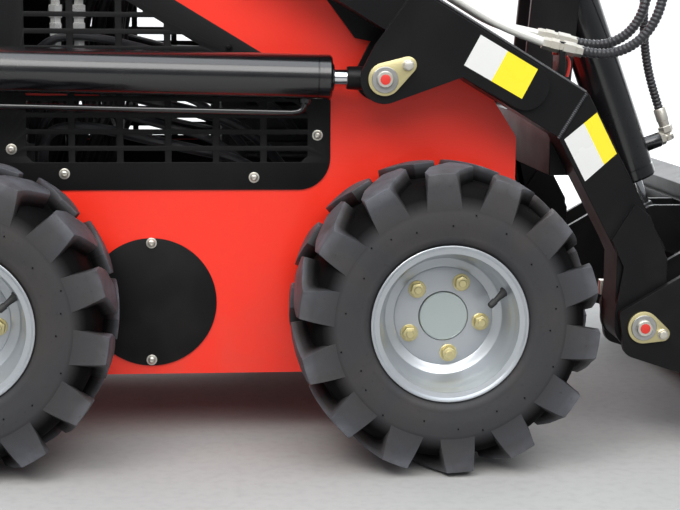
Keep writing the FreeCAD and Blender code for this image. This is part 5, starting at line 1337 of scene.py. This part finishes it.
@dataclass
class Lines:
    """The steel pipes on the right-hand arm and the two hoses of the tilt cylinder."""

    shop: Shop
    boom: Boom
    slope: float = 30.9
    ties: Sequence[float] = (107, 220, 410, 600)

    def build(self) -> None:
        """Lay the pipes, then the hoses."""
        self.pipes()
        for name, route in HOSE_ROUTES.items():
            self.hose(name, route)

    def pipes(self) -> None:
        """Bend both pipes along the arm and add clamps, stand and fittings."""
        mesh = bmesh.new()
        at = self.shop.at
        rise = 17 / math.cos(math.radians(self.slope))
        for y, lift, reach in ((-342.5, 0, 0), (-312.5, 13, -2)):
            end = (522 + reach, 631.4 + lift)
            points = [(-225, self.boom.top(-225) + 3), (-220, self.boom.top(-220) + rise + 16), (-165, self.boom.top(-165) + rise),
                      (445, self.boom.top(445) + rise), end]
            line = [at(x, y, z) for x, z in points]
            tube(mesh, self.eased(line), 7.0, 16, smooth=False)
            way = Vector((58, 0, -13)).normalized()
            fitting = [(-6, 8.6), (-2, 9.6), (6, 9.6), (7, 10.6), (20, 10.6), (21, 9.0), (26, 9.0), (27, 10.9),
                       (46, 10.9), (47, 9.4), (58, 9.2)]
            shape = turned(mesh, [(-6, 0), *fitting, (59.3, 0)], 6, index=1)
            moved(mesh, shape, aimed(at(end[0], y, end[1]), way))
        for place in self.ties:
            x = place - 330
            low, high = self.boom.top(x) + 0.5, self.boom.top(x) + rise + 9
            outline = [(x - 14, self.boom.top(x - 14)), (x + 14, self.boom.top(x + 14)), (x + 14, self.boom.top(x + 14) + high - low),
                       (x - 14, self.boom.top(x - 14) + high - low)]
            clamp = slab(mesh, outline, -352.5, -302.5, 2.2, 2)
            moved(mesh, clamp, Matrix.Translation((self.shop.middle, 0, 0)))
            bolt(mesh, at(x, -327.5, high), Vector((math.sin(math.radians(self.slope)), 0, 1)), 10, washer=7, index=1)
        stand = [(542, self.boom.top(542)), (552, self.boom.top(552)), (552, 633.4), (542, 635.4)]
        moved(mesh, slab(mesh, stand, -349.5, -305.5, 1.2, 2), Matrix.Translation((self.shop.middle, 0, 0)))
        self.shop.piece(mesh, "arm_pipes_finished", "boom", PIPE, PALE_ZINC, BLACK, replaces=["arm_pipes"])

    @staticmethod
    def eased(points: Sequence[Vector]) -> list[Vector]:
        """Round the corners of a line of straight runs."""
        line = [points[0]]
        for before, corner, after in zip(points, points[1:], points[2:]):
            reach = 0.45 * min((corner - before).length, (after - corner).length, 0.12)
            start = corner + (before - corner).normalized() * reach
            end = corner + (after - corner).normalized() * reach
            for step in range(9):
                share = step / 8
                line.append(start.lerp(corner, share).lerp(corner.lerp(end, share), share))
        line.append(points[-1])
        return line

    def hose(self, name: str, route: Sequence[tuple[float, float, float]]) -> None:
        """Sweep a ribbed guard along the route of a hose and leave it on no body.

        Args:
            name: The hose's CAD node.
            route: Its control points in metres.
        """
        path = self.centreline(route)
        mesh = bmesh.new()
        total = sum((b - a).length for a, b in zip(path, path[1:]))
        count = int(total / 0.0066)
        rings, walked, place = [], 0.0, 0
        up = Vector((0.2, 0.3, 1.0))
        for step in range(count * 4 + 1):
            want = total * step / (count * 4)
            while place < len(path) - 2 and walked + (path[place + 1] - path[place]).length < want:
                walked += (path[place + 1] - path[place]).length
                place += 1
            leg = path[place + 1] - path[place]
            spot = path[place] + leg.normalized() * (want - walked)
            along = leg.normalized()
            side = along.cross(up).normalized()
            above = side.cross(along)
            up = above
            radius = (6.5, 7.7, 8.0, 7.7)[step % 4] * MM
            rings.append([mesh.verts.new(spot + (side * math.cos(turn) + above * math.sin(turn)) * radius)
                          for turn in (math.tau * number / 16 for number in range(16))])
        for one, two in zip(rings, rings[1:]):
            for number in range(16):
                follow = (number + 1) % 16
                mesh.faces.new((one[number], one[follow], two[follow], two[number]))
        mesh.faces.new(list(reversed(rings[0])))
        mesh.faces.new(rings[-1])
        bmesh.ops.recalc_face_normals(mesh, faces=mesh.faces)
        thing = self.shop.piece(mesh, f"{name}_finished", "", HOSE, replaces=[name], sharp=70)
        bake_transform(thing)

    @staticmethod
    def centreline(route: Sequence[tuple[float, float, float]]) -> list[Vector]:
        """Return the points of the smooth curve that a route controls."""
        curve = bpy.data.curves.new("hose_line", "CURVE")
        curve.dimensions = "3D"
        line = curve.splines.new("NURBS")
        line.points.add(len(route) - 1)
        for spot, point in zip(line.points, route):
            spot.co = (*point, 1.0)
        line.order_u = 3
        line.use_endpoint_u = True
        line.resolution_u = 16
        holder = bpy.data.objects.new("hose_line", curve)
        data = bpy.data.meshes.new_from_object(holder)
        path = [vert.co.copy() for vert in data.vertices]
        bpy.data.objects.remove(holder)
        bpy.data.curves.remove(curve)
        bpy.data.meshes.remove(data)
        return path


@dataclass
class Attachment:
    """The quick-attach frame, its pins and the bucket."""

    shop: Shop

    def build(self) -> None:
        """Dress the tool's nodes and add the retainers."""
        self.shop.carried("tool_carrier", BLACK, 1.8)
        self.shop.carried("tool_pins", STEEL, 1.2)
        self.shop.carried("bucket", BLACK, 2.0)
        for side in Side:
            mesh = bmesh.new()
            retainer(mesh, self.shop, side, (677, 197), 25.0, (707.3, 186.5), 11.5, 390)
            self.shop.piece(mesh, f"tool_pin_retainer_{side.word}", "tool", ZINC, PALE_ZINC, RED_MARK)
        self.wear()
        self.latches()

    def wear(self) -> None:
        """Lay the worn steel edge under the bucket's lip and its two rows of bolts."""
        low, high = (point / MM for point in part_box("bucket"))
        mesh = bmesh.new()
        y = high.y - 16
        brick(mesh, (high.x - 86, -y, low.z + 0.5), (high.x - 1, y, low.z + 2.4), 0.6)
        for number in range(7):
            place = Vector(((high.x - 52) * MM, (-y + 60 + number * (2 * y - 120) / 6) * MM, (low.z + 12) * MM))
            button(mesh, place, Vector((0, 0, 1)), 8.0, index=1)
        self.shop.piece(mesh, "bucket_edge", self.shop.body_of("bucket"), WORN, STEEL)

    def latches(self) -> None:
        """Add the spring-loaded latch rods of the tool carrier."""
        at = self.shop.at
        for side in Side:
            mesh = bmesh.new()
            y = side.value * 260
            foot, head = at(655.9, y, 253.1), at(671.9, y, 285.1)
            spots = []
            across = (head - foot).normalized().orthogonal().normalized()
            other = (head - foot).normalized().cross(across)
            for step in range(8 * 12 + 1):
                turn = math.tau * step / 12
                spots.append(foot + (head - foot) * (step / 96) + (across * math.cos(turn) + other * math.sin(turn)) * 6.5 * MM)
            tube(mesh, spots, 1.3, 8, False)
            moved(mesh, turned(mesh, [(-8, 0), (-8, 4), (42, 4), (43, 3), (43, 0)], 20), aimed(foot, head - foot))
            block = brick(mesh, (640, -8, 226), (665, 8, 250), 1.4)
            moved(mesh, block, Matrix.Translation((self.shop.middle, y * MM, 0)))
            self.shop.piece(mesh, f"latch_rod_{side.word}", self.shop.body_of("tool_carrier"), PALE_ZINC)


@dataclass
class Operator:
    """Everything round the operator: console, levers, bar, pad, hood and platform."""

    shop: Shop

    def build(self) -> None:
        """Dress the operator's nodes and add grips, boots and studs."""
        self.shop.carried("hood", RED, 1.5)
        self.shop.carried("console", RED, 3.0)
        self.shop.carried("handlebar", BLACK, 3.0)
        self.shop.carried("platform", BLACK, 1.2)
        self.levers()
        self.grips()
        self.tread()
        self.pad()

    def levers(self) -> None:
        """Make the three levers with their knobs and rubber boots."""
        low, high = (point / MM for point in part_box("control_levers"))
        x, rise = (low.x + high.x) / 2, Vector((0, 0, 1))
        levers, boots = bmesh.new(), bmesh.new()
        stem = [(0, 0), (0, 6), (high.z - low.z - 34, 6), (high.z - low.z - 34, 0)]
        knob = [(0, 0), (0, 8), (2, 10), (6, 10.5), (16, 13), (26, 14), (32, 12.6), (35, 8), (36, 0)]
        boot = [(0, 0), (0, 25), (3, 25.5), (6, 22), (9, 21.5), (11, 23), (13, 19), (16, 18), (18, 19.5), (20, 15),
                (23, 14), (25, 15), (27, 9), (34, 7.4), (35, 6.1), (35, 0)]
        for y in (low.y + 14, 0, high.y - 14):
            for mesh, profile, z, sides in ((levers, stem, low.z, 24), (levers, knob, high.z - 36, 40),
                                            (boots, boot, 1135, 40)):
                moved(mesh, turned(mesh, profile, sides, index=1 if profile is knob else 0),
                      aimed(Vector((x, y, z)) * MM, rise))
        self.shop.piece(levers, "control_levers_finished", self.shop.body_of("control_levers"), STEEL, PLASTIC,
                        replaces=["control_levers"])
        self.shop.piece(boots, "lever_boots", self.shop.body_of("console"), RUBBER)

    def grips(self) -> None:
        """Slide two ribbed rubber grips over the handlebar."""
        low, high = (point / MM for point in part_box("handlebar"))
        mesh = bmesh.new()
        profile = [(0, 0), (0, 18.5), (3, 18.8), (5, 16.2)]
        for number in range(17):
            along = 8 + number * 6
            profile += [(along, 16.4), (along + 3.6, 16.4), (along + 4.4, 15.6), (along + 5.4, 15.6)]
        profile += [(112, 16.2), (114, 18.0), (117, 17.2), (117, 0)]
        for way in (1, -1):
            place = Vector(((low.x + 14) * MM, way * 34 * MM, (low.z + high.z) / 2 * MM))
            moved(mesh, turned(mesh, profile, 40), aimed(place, Vector((0, way, 0))))
        self.shop.piece(mesh, "handlebar_grips", self.shop.body_of("handlebar"), RUBBER)

    def tread(self) -> None:
        """Lay gritty tape on the platform and press rows of round studs through it."""
        low, high = (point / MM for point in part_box("platform"))
        mesh = bmesh.new()
        brick(mesh, (low.x + 16, low.y + 16, low.z + 6), (high.x - 40, high.y - 16, low.z + 7.2), 0.3)
        stud = [(0, 0), (0, 8), (1.6, 7.2), (2.6, 5.4), (2.6, 4.2), (1.4, 3.6), (1.4, 0)]
        for row in range(8):
            for column in range(13):
                place = Vector((low.x + 36 + row * 26, -192 + column * 32, low.z + 6.8))
                if place.x < high.x - 52:
                    moved(mesh, turned(mesh, stud, 20, index=1), aimed(place * MM, Vector((0, 0, 1))))
        self.shop.piece(mesh, "platform_tread", self.shop.body_of("platform"), GRIP_TAPE, BLACK)

    def pad(self) -> None:
        """Blow up the thigh pad as cloth over its board, then sew its edge."""
        low, high = (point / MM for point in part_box("thigh_pad"))
        mesh = bmesh.new()
        inset = 8.0
        outline = rounded([(low.y + inset, low.z + inset, 16), (high.y - inset, low.z + inset, 16),
                           (high.y - inset, high.z - inset, 16), (low.y + inset, high.z - inset, 16)], 6)
        cushion = slab(mesh, outline, low.x + 8, high.x - 0.5, 7.0)
        moved(mesh, cushion, Matrix(((0, 1, 0, 0), (1, 0, 0, 0), (0, 0, 1, 0), (0, 0, 0, 1))))
        bmesh.ops.recalc_face_normals(mesh, faces=mesh.faces)
        thing = self.shop.piece(mesh, "thigh_pad_finished", self.shop.body_of("thigh_pad"), VINYL,
                                replaces=["thigh_pad"], sharp=180.0)
        self.swell(thing, 0.006, high.x * MM)
        trim = bmesh.new()
        cord = rounded([(low.y + 5, low.z + 5, 18), (high.y - 5, low.z + 5, 18), (high.y - 5, high.z - 5, 18),
                        (low.y + 5, high.z - 5, 18)], 6)
        points = [Vector((high.x - 14, y, z)) * MM for y, z in cord]
        tube(trim, [*points, points[0]], 2.6, 12, False)
        self.shop.piece(trim, "thigh_pad_piping", self.shop.body_of("thigh_pad"), VINYL)

    def swell(self, thing: bpy.types.Object, cap: float, board: float) -> None:
        """Remesh a pad, blow it up as cloth and keep the result.

        Args:
            thing: The pad's object.
            cap: How far a point may move, in metres.
            board: Where its backing board lies along X, in metres.
        """
        remesh = thing.modifiers.new("remesh", "REMESH")
        remesh.mode = "VOXEL"
        remesh.voxel_size = 0.005
        self.kept(thing)
        start = [vert.co.copy() for vert in thing.data.vertices]
        group = thing.vertex_groups.new(name="board")
        group.add([vert.index for vert in thing.data.vertices if vert.co.x > board - 0.0035], 1.0, "REPLACE")
        cloth = thing.modifiers.new("cloth", "CLOTH")
        cloth.settings.use_pressure = True
        cloth.settings.uniform_pressure_force = 4.0
        cloth.settings.effector_weights.gravity = 0.0
        cloth.settings.vertex_group_mass = "board"
        scene = bpy.context.scene
        for frame in range(1, 21):
            scene.frame_set(frame)
        self.kept(thing)
        scene.frame_set(1)
        for vert, before in zip(thing.data.vertices, start):
            step = vert.co - before
            if step.length > cap:
                vert.co = before + step.normalized() * cap
        thing.vertex_groups.clear()
        finer = thing.modifiers.new("finer", "SUBSURF")
        finer.levels = finer.render_levels = 1
        for face in thing.data.polygons:
            face.use_smooth = True

    def kept(self, thing: bpy.types.Object) -> None:
        """Replace a piece's mesh with what its modifiers make of it."""
        graph = bpy.context.evaluated_depsgraph_get()
        data = bpy.data.meshes.new_from_object(thing.evaluated_get(graph))
        old = thing.data
        data.materials.clear()
        for material in old.materials:
            data.materials.append(material)
        thing.modifiers.clear()
        thing.data = data
        bpy.data.meshes.remove(old)


# Studio


@dataclass
class Studio:
    """Floor, backdrop, lights and the camera of the photograph."""

    location: tuple[float, float, float] = (-0.2743, -2.6237, 0.6661)
    yaw: float = 5.231
    pitch: float = 8.937
    roll: float = 0.441
    lens: float = 79.56

    def build(self) -> None:
        """Set the stage up."""
        self.floor()
        self.world()
        self.lights()
        self.camera()

    def floor(self) -> None:
        """Lay a pale concrete floor that curves up into the backdrop."""
        mesh = bmesh.new()
        profile = [(-9.0, 0.0)]
        profile += [(7.0 + 3.0 * math.sin(math.radians(turn)), 3.0 - 3.0 * math.cos(math.radians(turn)))
                    for turn in range(0, 91, 6)]
        profile.append((10.0, 14.0))
        for (y, z), (next_y, next_z) in zip(profile, profile[1:]):
            mesh.faces.new([mesh.verts.new(corner) for corner in
                            ((-16, y, z), (16, y, z), (16, next_y, next_z), (-16, next_y, next_z))])
        bmesh.ops.remove_doubles(mesh, verts=mesh.verts, dist=1e-4)
        bmesh.ops.recalc_face_normals(mesh, faces=mesh.faces)
        data = bpy.data.meshes.new("floor")
        for face in mesh.faces:
            face.smooth = True
            if face.normal.z < 0 or (abs(face.normal.z) < 1e-3 and face.normal.y > 0):
                face.normal_flip()
        mesh.to_mesh(data)
        mesh.free()
        graph = Graph("pale_concrete")
        patch = graph.span(graph.noise(1.6, 6.0), 0.3, 0.7, 0.0, 0.5)
        colour = graph.blend(patch, (0.40, 0.395, 0.385), (0.32, 0.315, 0.31))
        speck = graph.span(graph.noise(60.0, 4.0), 0.45, 0.75, 0.0, 0.25)
        colour = graph.blend(speck, colour, (0.26, 0.255, 0.25))
        split = graph.add("ShaderNodeSeparateXYZ")
        graph.link(graph.place, split.inputs["Vector"])
        far = graph.span(split.outputs["Y"], 0.9, 3.6)
        graph.drive("Base Color", graph.blend(far, colour, (0.80, 0.80, 0.79)))
        graph.drive("Emission Strength", graph.times(far, 0.42))
        graph.fix(Roughness=0.9, Emission_Color=(1.0, 1.0, 1.0), Specular_IOR_Level=0.2)
        graph.bump(graph.noise(45.0, 6.0), 0.25, 0.002)
        data.materials.append(graph.material)
        thing = bpy.data.objects.new("studio_floor", data)
        bpy.context.scene.collection.objects.link(thing)

    def world(self) -> None:
        """Light the scene with a soft sky, which the camera and metal see as dark low down and pale overhead."""
        world = bpy.data.worlds.new("soft_sky")
        bpy.context.scene.world = world
        world.use_nodes = True
        tree = world.node_tree
        light = tree.nodes["Background"]
        light.inputs["Color"].default_value = (0.88, 0.93, 1.0, 1.0)
        light.inputs["Strength"].default_value = 0.70
        way = tree.nodes.new("ShaderNodeTexCoord")
        split = tree.nodes.new("ShaderNodeSeparateXYZ")
        rise = tree.nodes.new("ShaderNodeMapRange")
        rise.interpolation_type = "SMOOTHSTEP"
        rise.inputs["From Min"].default_value, rise.inputs["From Max"].default_value = 0.05, 0.62
        tint = tree.nodes.new("ShaderNodeMix")
        tint.data_type = "RGBA"
        tint.inputs[6].default_value = (0.20, 0.21, 0.22, 1.0)
        tint.inputs[7].default_value = (0.92, 0.95, 1.0, 1.0)
        shown = tree.nodes.new("ShaderNodeBackground")
        tree.links.new(way.outputs["Generated"], split.inputs[0])
        tree.links.new(split.outputs["Z"], rise.inputs["Value"])
        tree.links.new(rise.outputs["Result"], tint.inputs[0])
        tree.links.new(tint.outputs[2], shown.inputs["Color"])
        path = tree.nodes.new("ShaderNodeLightPath")
        total = path.outputs["Is Camera Ray"]
        for name in ("Is Glossy Ray", "Is Transmission Ray"):
            node = tree.nodes.new("ShaderNodeMath")
            node.use_clamp = True
            tree.links.new(total, node.inputs[0])
            tree.links.new(path.outputs[name], node.inputs[1])
            total = node.outputs[0]
        mix = tree.nodes.new("ShaderNodeMixShader")
        tree.links.new(total, mix.inputs[0])
        tree.links.new(light.outputs[0], mix.inputs[1])
        tree.links.new(shown.outputs[0], mix.inputs[2])
        tree.links.new(mix.outputs[0], tree.nodes["World Output"].inputs["Surface"])

    def lights(self) -> None:
        """Hang the big softboxes."""
        for name, place, target, size, power, colour in (
            ("key", (-2.6, -3.4, 4.4), (0, 0, 0.4), (2.6, 2.0), 120.0, (1.0, 0.97, 0.93)),
            ("front", (0.5, -5.0, 4.2), (0.0, 0, 0.5), (6.0, 3.0), 262.0, (1.0, 0.99, 0.97)),
            ("top", (0, -0.9, 4.6), (0, -0.3, 0), (4.6, 4.2), 132.0, (0.90, 0.95, 1.0)),
            ("back", (1.6, 3.8, 2.8), (0, 0, 0.7), (3.0, 1.6), 110.0, (0.95, 0.98, 1.0)),
        ):
            lamp = bpy.data.lights.new(name, "AREA")
            lamp.shape = "RECTANGLE"
            lamp.size, lamp.size_y = size
            lamp.energy = power
            lamp.color = colour
            thing = bpy.data.objects.new(name, lamp)
            thing.location = place
            thing.rotation_euler = (Vector(target) - Vector(place)).to_track_quat("-Z", "Y").to_euler()
            bpy.context.scene.collection.objects.link(thing)

    def camera(self) -> None:
        """Set the camera that matches the photograph."""
        yaw, pitch, roll = (math.radians(turn) for turn in (self.yaw, self.pitch, self.roll))
        ahead = Vector((math.sin(yaw) * math.cos(pitch), math.cos(yaw) * math.cos(pitch), -math.sin(pitch)))
        right = ahead.cross(Vector((0, 0, 1))).normalized()
        up = right.cross(ahead)
        across = math.cos(roll) * right + math.sin(roll) * up
        above = -math.sin(roll) * right + math.cos(roll) * up
        data = bpy.data.cameras.new("camera")
        data.lens = self.lens
        data.sensor_width = 36.0
        data.clip_start, data.clip_end = 0.05, 60.0
        thing = bpy.data.objects.new("camera", data)
        matrix = Matrix((across, above, -ahead)).transposed().to_4x4()
        matrix.translation = Vector(self.location)
        thing.matrix_world = matrix
        bpy.context.scene.collection.objects.link(thing)
        bpy.context.scene.camera = thing


def note_size() -> None:
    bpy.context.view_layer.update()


def main() -> None:
    """Build the whole machine in order."""
    logging.basicConfig(level=logging.INFO, format="%(message)s")
    for thing in list(bpy.data.objects):
        bpy.data.objects.remove(thing)
    shop = Shop(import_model())
    note_size()
    lift = Cylinder(shop, (-420, 590), (271, 576), 34.5, 13, 619, 27, 27, 60, 12.6)
    tilt = Cylinder(shop, (611, 804), (793, 316), 41, 14, 449.8, 33, 24, 80, 12.6)
    boom = Boom(shop)
    steps: list[tuple[str, Callable[[], None]]] = [
        ("wheels", Wheel(shop).build),
        ("body", Body(shop).build),
        ("engine bay", EngineBay(shop).build),
        ("boom", boom.build),
        ("lines", Lines(shop, boom).build),
        ("attachment", Attachment(shop).build),
        ("operator", Operator(shop).build),
        ("studio", Studio().build),
    ]
    for name, step in steps:
        step()
        LOG.info("built %s, %d pieces so far", name, len(shop.made))
    for side in Side:
        lift.barrel(f"lift_barrel_{side.word}", side.value * 327.5, f"lift_barrel_{side.word}")
        lift.piston(f"lift_rod_{side.word}", side.value * 327.5, f"lift_rod_{side.word}")
        lift.feed_pipe(side, side.value * 327.5)
    tilt.barrel("tilt_barrel", 0.0, "tilt_barrel")
    tilt.piston("tilt_rod", 0.0, "tilt_rod", 4.0)
    tilt.tilt_ports()
    scene = bpy.context.scene
    scene.view_settings.view_transform = "Standard"
    note_size()


if __name__ == "__main__":
    main()
